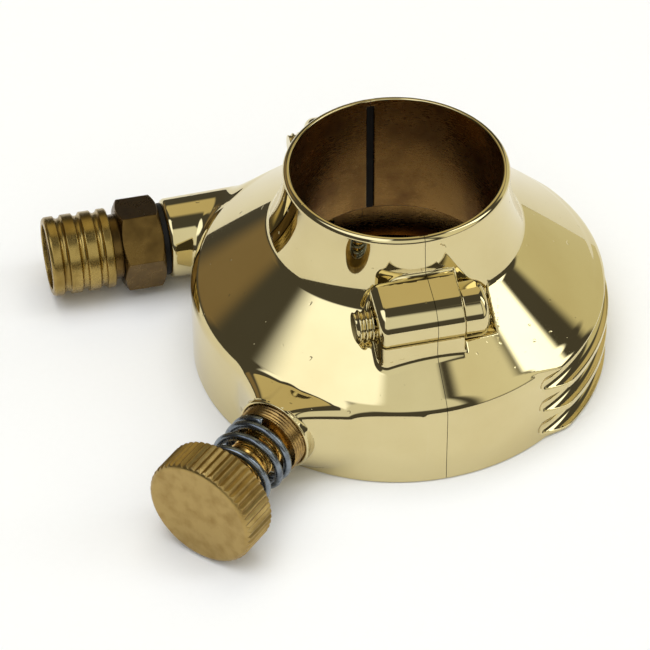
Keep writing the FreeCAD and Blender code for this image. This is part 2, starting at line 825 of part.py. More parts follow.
PIECES.append(turned("adjusting_spindle", [
    ("", "needle_tip_start"),
    ("needle_tip_radius", "needle_tip_start"),
    ("needle_stem_radius", "needle_cone_end"),
    ("needle_stem_radius", "spindle_shoulder"),
    ("spindle_radius", "spindle_shoulder"),
    ("spindle_radius", "oring_station -oring_groove_half"),
    ("oring_groove_radius", "oring_station -oring_groove_half"),
    ("oring_groove_radius", "oring_station oring_groove_half"),
    ("spindle_radius", "oring_station oring_groove_half"),
    ("spindle_radius", "spindle_end"),
    ("", "spindle_end"),
], needle_frame))

oring = doc.addObject("Part::Torus", "spindle_oring")
bind(oring, Radius1="oring_mean_radius", Radius2="oring_tube_radius")
oring.Placement = at_needle("oring_station")
PIECES.append(oring)

knob_turned = turned("knob_turned", [
    ("knob_bore_radius", "knob_rear"),
    ("knob_radius -knob_rear_bevel", "knob_rear"),
    ("knob_radius", "knob_rear knob_rear_bevel"),
    ("knob_radius", "knob_knurl_front"),
    ("knob_radius -knob_face_round", "knob_front", "knob_face_round", 1),
    ("", "knob_front"),
    ("", "spindle_end"),
    ("knob_bore_radius", "spindle_end"),
], needle_frame)


def knurl_shape():
    """Toothed prism; its points reach past the rim round so that only the knurl is cut."""
    teeth = int(size("knob_teeth"))
    points = []
    for index in range(teeth):
        for share, radius_terms in ((0.0, "knob_radius -knurl_depth"), (0.5, "knob_radius 0.15*knurl_depth")):
            radius = size(radius_terms)
            turn = 2 * math.pi * (index + share) / teeth
            points.append(Vector(radius * math.cos(turn), radius * math.sin(turn), 0))
    points.append(points[0])
    prism = Part.Face(Part.makePolygon(points)).extrude(Vector(0, 0, size("knob_front")))
    return prism


knurl = shape_piece("knurl", knurl_shape(), needle_frame)
knob_knurled = common("knob_knurled", knob_turned, knurl)
set_screw_turn = needle_turn.multiply(Rotation(Vector(1, 0, 0), 90))  # points straight down
set_screw_hole = cylinder("set_screw_hole", "set_screw_hole_radius", "knob_radius", Placement(
    at_needle("set_screw_station").Base, set_screw_turn))
PIECES.append(cut("knurled_knob", knob_knurled, [set_screw_hole]))
set_screw_start = set_screw_turn.multVec(Vector(0, 0, size("set_screw_inner")))
PIECES.append(cylinder("knob_set_screw", "set_screw_radius", "set_screw_outer -set_screw_inner", Placement(
    at_needle("set_screw_station").Base + set_screw_start, set_screw_turn)))

PIECES.append(turned("thrust_washer", [
    ("washer_bore_radius", "washer_rear"),
    ("washer_radius", "washer_rear"),
    ("washer_radius", "washer_rear washer_thickness"),
    ("washer_bore_radius", "washer_rear washer_thickness"),
], needle_frame))


def coil(mean, wire, stations, start_turn=0.0):
    """Wire swept along a helix that passes one station per quarter turn, local Z upward."""
    points = []
    for index, station in enumerate(stations):
        turn = start_turn + index * math.pi / 4
        points.append(Vector(mean * math.cos(turn), mean * math.sin(turn), station))
    path = Part.BSplineCurve()
    path.interpolate(points)
    tangent = path.tangent(path.FirstParameter)[0]
    ring = Part.Wire(Part.Circle(points[0], tangent, wire).toShape())
    pipe = Part.BRepOffsetAPI.MakePipeShell(Part.Wire(path.toShape()))
    pipe.setFrenetMode(True)
    pipe.add(ring)
    pipe.build()
    pipe.makeSolid()
    return pipe.shape()


def coil_stations(start, end, wire, closed_start, open_turns, closed_end):
    """Heights every eighth of a turn: closed coils touch nearly, open coils share the rest."""
    closed_pitch = 2 * wire + 0.06
    open_pitch = (end - start - (closed_start + closed_end) * closed_pitch) / open_turns
    heights = [start]
    for turns, pitch in ((closed_start, closed_pitch), (open_turns, open_pitch), (closed_end, closed_pitch)):
        for _ in range(int(round(turns * 8))):
            heights.append(heights[-1] + pitch / 8)
    smooth = list(heights)
    for _ in range(3):
        smooth = [smooth[0]] + [
            (smooth[i - 1] + 2 * smooth[i] + smooth[i + 1]) / 4 for i in range(1, len(smooth) - 1)
        ] + [smooth[-1]]
    return smooth


lock_wire = size("lock_wire_radius")
lock_heights = coil_stations(size("bush_end") + lock_wire + 0.05, size("washer_rear") - lock_wire - 0.05,
                             lock_wire, 1.25, 2.0, 0.75)
PIECES.append(shape_piece("lock_spring", coil(size("lock_mean_radius"), lock_wire, lock_heights),
                          needle_frame))

# ---- quick coupler ----

PIECES.append(turned("inlet_washer", [
    ("gasket_bore_radius", "inlet_end"),
    ("gasket_radius", "inlet_end"),
    ("gasket_radius", "hex_start"),
    ("gasket_bore_radius", "hex_start"),
], inlet_frame))

hex_bar = doc.addObject("Part::Prism", "hex_bar")
hex_bar.Polygon = 6
bind(hex_bar, Circumradius="hex_circumradius", Height="hex_end -hex_start")
hex_bar.Placement = Placement(at_inlet("hex_start").Base, inlet_frame.Rotation.multiply(
    Rotation(Vector(0, 0, 1), size("hex_turn_angle"))))
hex_envelope = turned("hex_envelope", [
    ("", "hex_start"),
    ("hex_half_flats -0.2*hex_inner_bevel", "hex_start"),
    ("hex_circumradius 0.1*hex_inner_bevel", "hex_start hex_inner_bevel"),
    ("hex_circumradius 0.1*hex_inner_bevel", "hex_end -hex_outer_bevel"),
    ("hex_half_flats -0.5*hex_inner_bevel", "hex_end"),
    ("", "hex_end"),
], inlet_frame)
hex_nut = common("hex_nut", hex_bar, hex_envelope)
nipple = turned("nipple", [
    ("", "nipple_end"),
    ("nipple_radius -base_break", "nipple_end"),
    ("nipple_radius", "nipple_end base_break"),
    ("nipple_radius", "hex_start base_break"),
    ("", "hex_start base_break"),
], inlet_frame)
hex_cavity = turned("hex_cavity", [
    ("", "nipple_end -base_break"),
    ("nipple_bore_radius", "nipple_end -base_break"),
    ("nipple_bore_radius", "socket_root -socket_end_gap"),
    ("socket_hole_radius", "socket_root -socket_end_gap"),
    ("socket_hole_radius", "hex_end base_break"),
    ("", "hex_end base_break"),
], inlet_frame)
PIECES.append(cut("coupler_hex", fuse("hex_with_nipple", [hex_nut, nipple]), [hex_cavity]))

barrel_turned = turned("barrel_turned", [
    ("valve_chamber_radius", "socket_root"),
    ("socket_thread_radius", "socket_root"),
    ("socket_thread_radius", "hex_end"),
    ("collar_radius", "hex_end"),
    ("collar_radius", "collar_end"),
    ("spring_zone_radius", "collar_end"),
    ("spring_zone_radius", "spring_zone_end"),
    ("barrel_radius", "spring_zone_end"),
    ("barrel_radius", "clip_start -clip_gap"),
    ("clip_groove_radius", "clip_start -clip_gap"),
    ("clip_groove_radius", "clip_end clip_gap"),
    ("barrel_radius", "clip_end clip_gap"),
    ("barrel_radius -clip_gap", "barrel_end"),
    ("socket_bore_radius clip_gap", "barrel_end"),
    ("socket_bore_radius", "barrel_end -clip_gap"),
    ("socket_bore_radius", "seal_station seal_groove_half"),
    ("seal_groove_radius", "seal_station seal_groove_half"),
    ("seal_groove_radius", "seal_station -seal_groove_half"),
    ("socket_bore_radius", "seal_station -seal_groove_half"),
    ("socket_bore_radius", "web_end"),
    ("web_bore_radius", "web_end"),
    ("web_bore_radius", "web_start"),
    ("valve_chamber_radius", "web_start"),
], inlet_frame)
ball_holes = []
balls = []
ball_count = int(size("ball_count"))
for index in range(ball_count):
    turn = math.radians(360.0 / ball_count * (index + 0.5))
    outward = inlet_frame.Rotation.multVec(Vector(math.cos(turn), math.sin(turn), 0))
    centre = at_inlet("ball_station").Base
    ball_holes.append(cylinder("ball_hole_%d" % (index + 1), "ball_hole_radius", "socket_bore_radius",
                               along(outward, centre + outward * size("0.75*socket_bore_radius"))))
    ball = doc.addObject("Part::Sphere", "locking_ball_%d" % (index + 1))
    bind(ball, Radius="ball_radius")
    ball.Placement = Placement(centre + outward * size("ball_ring_radius"), Rotation())
    balls.append(ball)
PIECES.append(cut("socket_barrel", barrel_turned, ball_holes))
PIECES += balls

sleeve_outline = [
    ("sleeve_chamber_radius", "sleeve_start"),
    ("sleeve_radius -sleeve_edge", "sleeve_start"),
    ("sleeve_radius", "sleeve_start sleeve_edge", "sleeve_edge", 1),
]
for index in range(int(size("sleeve_groove_count"))):
    middle = "sleeve_first_groove %d*sleeve_groove_pitch" % index
    sleeve_outline.append(("sleeve_radius", middle + " -sleeve_groove_half"))
    sleeve_outline.append(("sleeve_radius", middle + " sleeve_groove_half", "sleeve_groove_round", -1))
sleeve_outline += [
    ("sleeve_radius", "sleeve_end -sleeve_nose"),
    ("sleeve_radius -sleeve_nose", "sleeve_end", "sleeve_nose", 1),
    ("sleeve_recess_radius", "sleeve_end"),
    ("sleeve_recess_radius", "sleeve_stop_end"),
    ("sleeve_stop_radius", "sleeve_stop_end"),
    ("sleeve_stop_radius", "sleeve_stop_start"),
    ("sleeve_recess_radius", "sleeve_recess_start"),
    ("sleeve_land_radius", "sleeve_land_end"),
    ("sleeve_land_radius", "sleeve_chamber_end"),
    ("sleeve_chamber_radius", "sleeve_chamber_end"),
]
PIECES.append(turned("coupler_sleeve", sleeve_outline, inlet_frame))

PIECES.append(turned("retaining_ring", [
    ("clip_groove_radius", "clip_start"),
    ("clip_radius", "clip_start"),
    ("clip_radius", "clip_end"),
    ("clip_groove_radius", "clip_end"),
], inlet_frame))

socket_seal = doc.addObject("Part::Torus", "socket_seal")
bind(socket_seal, Radius1="seal_mean_radius", Radius2="seal_tube_radius")
socket_seal.Placement = at_inlet("seal_station")
PIECES.append(socket_seal)

PIECES.append(turned("poppet", [
    ("", "poppet_stem_end"),
    ("poppet_stem_radius", "poppet_stem_end"),
    ("poppet_stem_radius", "poppet_back"),
    ("poppet_radius", "poppet_back"),
    ("poppet_radius", "poppet_front"),
    ("poppet_nose_radius", "poppet_front"),
    ("poppet_nose_radius", "poppet_nose_front"),
    ("", "poppet_nose_front"),
], inlet_frame))
PIECES.append(turned("poppet_seal", [
    ("poppet_nose_radius", "poppet_front"),
    ("poppet_seal_radius", "poppet_front"),
    ("poppet_seal_radius", "poppet_seal_front"),
    ("poppet_nose_radius", "poppet_seal_front"),
], inlet_frame))

sleeve_wire = size("sleeve_spring_wire")
sleeve_heights = coil_stations(size("collar_end") + sleeve_wire + 0.05,
                               size("sleeve_chamber_end") - sleeve_wire - 0.05, sleeve_wire, 0.75, 2.5, 0.75)
PIECES.append(shape_piece("sleeve_spring", coil(size("sleeve_spring_mean"), sleeve_wire, sleeve_heights),
                          inlet_frame))
poppet_wire = size("poppet_spring_wire")
poppet_heights = coil_stations(size("socket_root -socket_end_gap") + poppet_wire + 0.05,
                               size("poppet_back") - poppet_wire - 0.05, poppet_wire, 0.75, 4.5, 0.75)
PIECES.append(shape_piece("poppet_spring", coil(size("poppet_spring_mean"), poppet_wire, poppet_heights),
                          inlet_frame))

# ---- check and write ----

doc.recompute()
for item in doc.Objects:
    if "Invalid" in item.State or "Error" in item.State:
        raise RuntimeError("failed object: " + item.Name)
os.makedirs("parts", exist_ok=True)
for piece in PIECES:
    shape = piece.Shape
    if shape.isNull() or not shape.isValid() or not shape.Solids:
        raise RuntimeError("bad shape: " + piece.Name)
    piece.Label = piece.Name
    shape.exportStep(os.path.join("parts", piece.Label + ".step"))
    print("%-18s solids %d volume %.1f" % (piece.Label, len(shape.Solids), shape.Volume))
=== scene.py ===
"""Looks of the clamp-on air pressure regulator, built round the CAD frame.

Shapes are signed distance functions in millimetres, negative inside, in the frame of the CAD part: Z is the
axis of the tube bore, X = 0 the seam between the body halves. Meshes are scaled to metres when they are made.
"""
import json
import math

import bmesh
import bpy
import numpy as np
from mathutils import Matrix, Vector


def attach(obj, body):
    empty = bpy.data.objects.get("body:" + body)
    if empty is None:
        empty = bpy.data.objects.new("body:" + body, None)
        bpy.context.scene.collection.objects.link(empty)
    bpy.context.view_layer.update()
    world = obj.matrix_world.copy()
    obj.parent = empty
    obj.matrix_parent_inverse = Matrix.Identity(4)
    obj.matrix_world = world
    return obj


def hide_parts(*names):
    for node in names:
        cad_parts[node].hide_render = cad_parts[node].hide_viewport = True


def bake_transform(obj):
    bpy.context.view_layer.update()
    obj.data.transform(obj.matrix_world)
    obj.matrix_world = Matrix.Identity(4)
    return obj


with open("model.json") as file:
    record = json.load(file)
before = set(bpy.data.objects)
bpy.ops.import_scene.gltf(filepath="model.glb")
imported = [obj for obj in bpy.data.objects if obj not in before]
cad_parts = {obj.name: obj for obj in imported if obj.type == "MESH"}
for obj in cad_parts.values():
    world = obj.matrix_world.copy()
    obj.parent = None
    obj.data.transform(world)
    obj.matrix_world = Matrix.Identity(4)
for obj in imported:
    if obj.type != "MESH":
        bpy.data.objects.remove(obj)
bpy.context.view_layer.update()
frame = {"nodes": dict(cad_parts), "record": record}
MM = 0.001

# ---- sizes of the turned body: radii and heights, millimetres ----

BORE, HEIGHT, WALL, RIM = 19.0, 42.1, 37.4, 20.3
CONE_R, CONE_Z, CONE_ANGLE = 23.4, 28.07, math.radians(38.4)
SHOULDER, NECK_ARC, NECK_FILLET, RIM_ROUND = 4.5, 30.0, 3.5, 1.1
NECK_LIMIT, NECK_CONE_COSINE, BASE_ROUND = 25.3, 0.91, 0.4
LEDGE, CHAMBER, CHAMBER_FLOOR, RECESS, RECESS_TOP = 16.5, 25.0, 3.0, 32.5, 4.0
SEAM = 0.05
SEAL_SLOT_WIDTH, SEAL_SLOT_TOP, SEAL_SLOT_DEPTH = 1.3, 40.6, 19.85

# ---- axes of the needle and the inlet: across, up or sideways, and outwards ----

HEADING = math.radians(223.5)
OUT = np.array([math.cos(HEADING), math.sin(HEADING), 0.0])
SIDE = np.array([-math.sin(HEADING), math.cos(HEADING), 0.0])
UP = np.array([0.0, 0.0, 1.0])
NEEDLE_FOOT = 1.3 * SIDE + 10.7 * UP
INLET_FOOT = np.array([0.0, 28.1, 9.0])
INLET_AXES = (np.array([0.0, 0.0, 1.0]), np.array([0.0, 1.0, 0.0]), np.array([-1.0, 0.0, 0.0]))
NEEDLE_AXES = (SIDE, UP, OUT)

# ---- gills: a raised sector of the wall with round grooves ----

GILL_LOW, GILL_HIGH = math.radians(-51), math.radians(23)
GILL_STEP, GROOVE_OVERRUN = math.radians(9), math.radians(7.5)
GILL_RADIUS, GILL_SHOULDER, GILL_DROP, GILL_INNER = 39.1, 4.0, 0.05, 18.0
RAMP_FOOT, RAMP_TOP, RAMP_ROUND = 37.15, 39.15, 4.0
GROOVE_AXIS, GROOVE_RADIUS, GROOVE_FIRST, GROOVE_PITCH, GROOVES = 38.9, 2.1, 3.0, 5.45, 3

# ---- lugs: barrel of the clamp screw and the pad that joins it to the wall ----

LUG_Y, LUG_Z, LUG_RADIUS, LUG_LEFT, LUG_RIGHT = 25.0, 28.5, 5.2, -10.4, 5.05
PAD_LEAN, PAD_FRONT, PAD_BACK, PAD_FLOOR = math.radians(75), 29.8, 20.8, 20.0
PAD_TOP_Y = LUG_Y + LUG_RADIUS * math.cos(PAD_LEAN)
PAD_TOP_Z = LUG_Z + LUG_RADIUS * math.sin(PAD_LEAN)
PAD_CHORD = math.hypot(PAD_TOP_Z - LUG_Z, PAD_FRONT - PAD_TOP_Y)

# ---- needle boss and inlet boss: stations run outwards along their axes ----

BOSS_RADIUS, BOSS_START, BOSS_END, BOSS_ROUND = 7.15, 20.0, 42.0, 0.3
FLARE_TIP, FLARE_RUN, FLARE_END, FLARE_STEEPNESS = 41.6, 13.0, 41.4, 6.0
FLARE_HALF_WIDTH, FLARE_WIDENING, FLARE_CURVE = 5.0, 0.93, 1.165
FLARE_TOP, FLARE_BOTTOM, FLARE_DEEPENING = 7.05, 6.4, 0.84
INLET_RADIUS, INLET_NARROWING, INLET_START, INLET_END = 8.1, 0.6, 4.0, 37.6

# ---- drilled holes: radius, first station, last station ----

OPEN = 1000.0
NEEDLE_HOLES = ((6.52, 36.0, OPEN), (4.6, 27.8, 37.0), (3.5, 22.5, 28.0))
INLET_HOLES = ((4.95, 28.5, OPEN), (3.0, 5.5, 29.0))
SCREW_HOLES = ((3.05, -16.0, 5.1), (5.3, 5.05, 11.5))
AIR_PASSAGE_X, AIR_PASSAGE_Z, AIR_PASSAGE = -8.5, 9.0, (3.0, 20.0, 28.1)
BLEED_STATION, BLEED_HOLE = 34.6, (1.0, -1.0, 10.7)

# ---- distance functions ----


def round_max(a, b, radius, cosine=0.0):
    """Intersection of two solids with a rounded edge; cosine is between the two outward normals."""
    first, second = a + radius, b + radius
    s2 = 1.0 - cosine * cosine
    inside = (first - second * cosine > 0) & (second - first * cosine > 0)
    length = np.sqrt(np.maximum(first * first + second * second - 2 * first * second * cosine, 0) / s2)
    return np.where(inside, length - radius, np.maximum(a, b))


def round_min(a, b, radius, cosine=0.0):
    """Union of two solids with a rolling-ball fillet."""
    return -round_max(-a, -b, radius, cosine)


def local(p, foot, axes):
    """Coordinates of points along three axes from a foot point."""
    q = p - foot
    return q @ axes[0], q @ axes[1], q @ axes[2]


def rod(r, z, radius, low, high, edge=0.0):
    """Cylinder between two stations, edges rounded."""
    ends = np.maximum(low - z, z - high)
    return round_max(r - radius, ends, edge) if edge else np.maximum(r - radius, ends)


def cone_half(radius, rounding, drop=0.0):
    """Wall and cone with their rounded shoulder, as a function of (r, z)."""
    sin, cos = math.sin(CONE_ANGLE), math.cos(CONE_ANGLE)

    def shape(r, z):
        cone = (r - CONE_R) * sin + (z - CONE_Z + drop) * cos
        return round_max(r - radius, cone, rounding, sin)

    return shape


flange = cone_half(WALL, SHOULDER)
gill_flange = cone_half(GILL_RADIUS, GILL_SHOULDER, GILL_DROP)


def turned_body(r, z):
    """Outside of the body without bosses: wall, cone, hollow-curved neck and rounded rim."""
    neck_r, neck_z = RIM + NECK_ARC, HEIGHT - RIM_ROUND
    neck = NECK_ARC - np.hypot(r - neck_r, np.minimum(z - neck_z, 0))
    neck = np.maximum(neck, r - NECK_LIMIT)
    neck = round_max(neck, z - HEIGHT, RIM_ROUND)
    body = round_min(flange(r, z), neck, NECK_FILLET, NECK_CONE_COSINE)
    return round_max(body, -z, BASE_ROUND)


def ramp(x, y, low, high):
    """Vertical plane from the ramp's foot at one angle to its top at the other, positive outside."""
    a = np.array([math.cos(low), math.sin(low)]) * RAMP_FOOT
    b = np.array([math.cos(high), math.sin(high)]) * RAMP_TOP
    along = (b - a) / np.linalg.norm(b - a)
    normal = np.array([along[1], -along[0]])
    if normal @ a < 0:
        normal = -normal
    return (x - a[0]) * normal[0] + (y - a[1]) * normal[1]


def gills(x, y, z, r):
    """Raised sector of the wall that carries the grooves, with a ramp at each end."""
    block = round_max(gill_flange(r, z), 0.35 - z, 0.35)
    middle = 0.5 * (GILL_LOW + GILL_HIGH)
    block = np.maximum(block, GILL_INNER - x * math.cos(middle) - y * math.sin(middle))
    block = round_max(block, ramp(x, y, GILL_LOW - GILL_STEP, GILL_LOW), RAMP_ROUND, 0.9)
    return round_max(block, ramp(x, y, GILL_HIGH + GILL_STEP, GILL_HIGH), RAMP_ROUND, 0.9)


def gill_grooves(x, y, z, r):
    """Round grooves that run along the raised sector and end in ball-shaped noses."""
    angle = np.arctan2(y, x)
    low, high = GILL_LOW - GROOVE_OVERRUN, GILL_HIGH + GROOVE_OVERRUN
    over = np.where(angle < low, low, np.where(angle > high, high, angle))
    cx, cy = GROOVE_AXIS * np.cos(over), GROOVE_AXIS * np.sin(over)
    nearest = np.clip(np.round((z - GROOVE_FIRST) / GROOVE_PITCH), 0, GROOVES - 1)
    level = nearest * GROOVE_PITCH + GROOVE_FIRST
    return np.sqrt((x - cx) ** 2 + (y - cy) ** 2 + (z - level) ** 2) - GROOVE_RADIUS


def lugs(x, y, z):
    """Front and rear lugs: a round barrel for the screw, with a pad from its top down to the wall."""
    v = np.abs(y)
    barrel = np.hypot(v - LUG_Y, z - LUG_Z) - LUG_RADIUS
    top = (v - PAD_TOP_Y) * math.cos(PAD_LEAN) + (z - PAD_TOP_Z) * math.sin(PAD_LEAN)
    chord = ((v - PAD_TOP_Y) * (PAD_TOP_Z - LUG_Z) + (z - PAD_TOP_Z) * (PAD_FRONT - PAD_TOP_Y)) / PAD_CHORD
    pad = np.maximum(np.maximum(v - PAD_FRONT, top), np.maximum(chord, PAD_FLOOR - z))
    both = np.minimum(barrel, round_max(pad, PAD_BACK - v, 1.2, -math.cos(PAD_LEAN)))
    both = round_max(both, LUG_LEFT - x, 1.7)
    return round_max(both, x - LUG_RIGHT, 0.3)


def needle_boss(p):
    """Round boss that the threaded bush screws into."""
    u, v, s = local(p, NEEDLE_FOOT, NEEDLE_AXES)
    return rod(np.hypot(u, v), s, BOSS_RADIUS, BOSS_START, BOSS_END, BOSS_ROUND)


def needle_flare(p):
    """Horn that leads the needle boss into the wall: wide and flat-topped at the wall."""
    u, v, s = local(p, NEEDLE_FOOT, NEEDLE_AXES)
    run = np.clip(FLARE_TIP - s, 0.0, FLARE_RUN)
    half_width = FLARE_HALF_WIDTH + FLARE_WIDENING * run ** FLARE_CURVE
    reach = np.where(v > 0, FLARE_TOP, FLARE_BOTTOM + FLARE_DEEPENING * run)
    power = np.where(v > 0, 4.0, 2.5)
    ring = ((np.abs(u) / half_width) ** power + (np.abs(v) / reach) ** power) ** (1 / power) - 1.0
    return np.maximum(ring * FLARE_STEEPNESS, np.maximum(s - FLARE_END, BOSS_START - s))


def inlet_boss(p):
    """Slightly tapered boss that the quick coupler screws into."""
    u, v, s = local(p, INLET_FOOT, INLET_AXES)
    taper = INLET_RADIUS - (s - INLET_START) * INLET_NARROWING / (INLET_END - INLET_START)
    return round_max(np.hypot(u, v) - taper, np.maximum(s - INLET_END, INLET_START - s), 1.0)


def drilled(r, station, holes):
    """Stepped hole on one axis."""
    bore = rod(r, station, *holes[0])
    for hole in holes[1:]:
        bore = np.minimum(bore, rod(r, station, *hole))
    return bore


def body_shape(p):
    """The whole body before it is split, with every hole and recess cut.

    Each join has a fillet radius, and the cosine between the surfaces where they don't meet squarely.
    """
    x, y, z = p[:, 0], p[:, 1], p[:, 2]
    r = np.hypot(x, y)
    body = turned_body(r, z)
    body = round_min(body, gills(x, y, z, r), 3.0, 0.95)
    horn = round_min(needle_flare(p), needle_boss(p), 1.6, 0.8)
    body = round_min(body, horn, 0.7, 0.3)
    body = round_min(body, inlet_boss(p), 2.5)
    body = round_min(body, lugs(x, y, z), 0.9)
    body = round_max(body, -z, 0.35)
    body = round_max(body, -gill_grooves(x, y, z, r), 0.22)
    bore = np.maximum(r - BORE, LEDGE - z)
    bore = np.minimum(bore, np.maximum(r - CHAMBER, np.maximum(z - LEDGE, CHAMBER_FLOOR - z)))
    bore = np.minimum(bore, np.maximum(r - RECESS, z - RECESS_TOP))
    slot = np.maximum(np.abs(x) - 0.5 * SEAL_SLOT_WIDTH, np.maximum(LEDGE - z, z - SEAL_SLOT_TOP))
    bore = np.minimum(bore, np.maximum(slot, np.abs(y) - SEAL_SLOT_DEPTH))
    needle, inlet = (NEEDLE_FOOT, NEEDLE_AXES, NEEDLE_HOLES), (INLET_FOOT, INLET_AXES, INLET_HOLES)
    for foot, axes, holes in (needle, inlet):
        across, upward, station = local(p, foot, axes)
        bore = np.minimum(bore, drilled(np.hypot(across, upward), station, holes))
    bore = np.minimum(bore, rod(np.hypot(x - AIR_PASSAGE_X, z - AIR_PASSAGE_Z), y, *AIR_PASSAGE))
    bore = np.minimum(bore, drilled(np.hypot(np.abs(y) - LUG_Y, z - LUG_Z), x, SCREW_HOLES))
    bleed = BLEED_STATION * OUT + NEEDLE_FOOT
    bore = np.minimum(bore, rod(np.hypot(x - bleed[0], y - bleed[1]), z, *BLEED_HOLE))
    return round_max(body, -bore, 0.3)


# ---- surfaces from distance functions ----

GRADIENT_STEP = 0.02
SAMPLE_BLOCK, SAMPLE_BATCH, FAR, BLOCK_REACH = 8, 400, 9.0, 0.87 * 1.9
SETTLE_STEPS = 4


def gradient(shape, p):
    """Direction in which the distance grows, by central differences."""
    g = np.empty_like(p)
    for axis in range(3):
        d = np.zeros(3)
        d[axis] = GRADIENT_STEP
        g[:, axis] = shape(p + d) - shape(p - d)
    return g / (2 * GRADIENT_STEP)


def unit(v):
    """Rows scaled to length 1."""
    return v / np.maximum(np.linalg.norm(v, axis=1, keepdims=True), 1e-9)


def straight(q):
    """Plain grid of the part's own coordinates."""
    return q


def swept(side):
    """Grid of radius, arc at the wall and height, centred on the +X (side 1) or -X direction."""
    def warp(q):
        angle = q[:, 1] / WALL
        return np.stack([side * q[:, 0] * np.cos(angle), side * q[:, 0] * np.sin(angle), q[:, 2]], 1)
    return warp


def sample(shape, low, high, cell, warp):
    """Distances on a grid; only blocks that the surface may cross are worked out."""
    low = np.array(low, float)
    block = SAMPLE_BLOCK
    count = np.ceil((np.array(high) - low) / (cell * block)).astype(int)
    axes = [low[i] + (np.arange(count[i]) + 0.5) * cell * block for i in range(3)]
    centres = np.stack(np.meshgrid(*axes, indexing="ij"), -1).reshape(-1, 3)
    reach = cell * block * BLOCK_REACH
    middle = shape(warp(centres))
    values = np.repeat(np.repeat(np.repeat(
        np.sign(middle).reshape(count) * FAR, block, 0), block, 1), block, 2).astype(np.float32)
    values = np.pad(values, ((0, 1),) * 3, mode="edge")
    near = np.argwhere(np.abs(middle).reshape(count) < reach)
    offsets = np.stack(np.meshgrid(*[np.arange(block + 1)] * 3, indexing="ij"), -1).reshape(-1, 3)
    for start in range(0, len(near), SAMPLE_BATCH):
        part = near[start:start + SAMPLE_BATCH]
        index = (part[:, None, :] * block + offsets[None]).reshape(-1, 3)
        values[index[:, 0], index[:, 1], index[:, 2]] = shape(warp(low + index * cell))
    return values, low


def settled(shape, p, reach):
    """Moves points onto the surface along its gradient."""
    for _ in range(SETTLE_STEPS):
        g = gradient(shape, p)
        step = -shape(p)[:, None] * g / np.maximum((g * g).sum(1, keepdims=True), 0.2)
        length = np.linalg.norm(step, axis=1, keepdims=True)
        p = p + step * np.minimum(1, reach / np.maximum(length, 1e-9))
    return p


def surface(shape, low, high, cell, warp=straight):
    """Vertices, outward normals and quads of the zero surface (surface nets, then projected)."""
    values, low = sample(shape, low, high, cell, warp)
    inside = values < 0
    corners = [(i, j, k) for i in (0, 1) for j in (0, 1) for k in (0, 1)]
    nx, ny, nz = (n - 1 for n in values.shape)
    total = np.zeros((nx, ny, nz), np.int8)
    for i, j, k in corners:
        total += inside[i:i + nx, j:j + ny, k:k + nz]
    cells = np.argwhere((total > 0) & (total < 8))
    at = np.stack([values[cells[:, 0] + i, cells[:, 1] + j, cells[:, 2] + k] for i, j, k in corners], 1)
    where = np.array(corners, float)
    summed = np.zeros((len(cells), 3))
    crossings = np.zeros(len(cells))
    for a in range(8):
        for b in range(a + 1, 8):
            if np.abs(where[a] - where[b]).sum() != 1:
                continue
            crossed = (at[:, a] < 0) != (at[:, b] < 0)
            t = at[:, a] / np.where(crossed, at[:, a] - at[:, b], 1)
            summed += np.where(crossed[:, None], where[a] + t[:, None] * (where[b] - where[a]), 0)
            crossings += crossed
    p = settled(shape, warp(low + (cells + summed / crossings[:, None]) * cell), 0.5 * cell)
    normals = unit(gradient(shape, p))
    number = -np.ones((nx, ny, nz), np.int64)
    number[cells[:, 0], cells[:, 1], cells[:, 2]] = np.arange(len(cells))
    quads = []
    for axis in range(3):
        b, c = (axis + 1) % 3, (axis + 2) % 3
        first = inside[tuple(slice(None, -1) if i == axis else slice(1, -1) for i in range(3))]
        second = inside[tuple(slice(1, None) if i == axis else slice(1, -1) for i in range(3))]
        edges = np.argwhere(first != second)
        flips = first[edges[:, 0], edges[:, 1], edges[:, 2]]
        base = edges.copy()
        base[:, b] += 1
        base[:, c] += 1
        ring = []
        for db, dc in ((1, 1), (0, 1), (0, 0), (1, 0)):
            cell_at = base.copy()
            cell_at[:, b] -= db
            cell_at[:, c] -= dc
            ring.append(number[cell_at[:, 0], cell_at[:, 1], cell_at[:, 2]])
        ring = np.stack(ring, 1)
        ring[~flips] = ring[~flips][:, ::-1]
        quads.append(ring)
    return p, normals, np.concatenate(quads)


def linked(name, data):
    """Object for a mesh, a light or the camera, put into the scene."""
    item = bpy.data.objects.new(name, data)
    bpy.context.scene.collection.objects.link(item)
    return item


def new_mesh(name, vertices, faces, normals):
    """Smooth-shaded object from millimetre arrays, with its normals taken from the distance function."""
    mesh = bpy.data.meshes.new(name)
    mesh.vertices.add(len(vertices))
    mesh.vertices.foreach_set("co", (vertices * MM).astype(np.float32).ravel())
    width = faces.shape[1]
    mesh.loops.add(faces.size)
    mesh.loops.foreach_set("vertex_index", faces.astype(np.int32).ravel())
    mesh.polygons.add(len(faces))
    mesh.polygons.foreach_set("loop_start", np.arange(0, faces.size, width, dtype=np.int32))
    mesh.polygons.foreach_set("loop_total", np.full(len(faces), width, np.int32))
    mesh.update(calc_edges=True)
    mesh.polygons.foreach_set("use_smooth", np.ones(len(faces), bool))
    mesh.normals_split_custom_set_from_vertices([tuple(n) for n in normals])
    mesh.update()
    return linked(name, mesh)


def place(piece, body, slot, node, *materials):
    """Puts a piece under the empty of the body it rides on, hides the CAD node it stands in for, and gives it
    its materials.
    """
    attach(piece, body)
    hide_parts(node)
    for material in materials:
        piece.data.materials.append(material)


def shaped(name, shape, low, high, cell, body, slot, material, node):
    """Piece from a distance function, meshed inside a box."""
    vertices, normals, faces = surface(shape, low, high, cell * (1.0))
    place(new_mesh(name, vertices, faces, normals), body, slot, node, material)


def framed(shape, foot, axes):
    """Shape of (across, up, station) seen from the part frame."""
    return lambda p: shape(*local(p, foot, axes))


# ---- materials ----

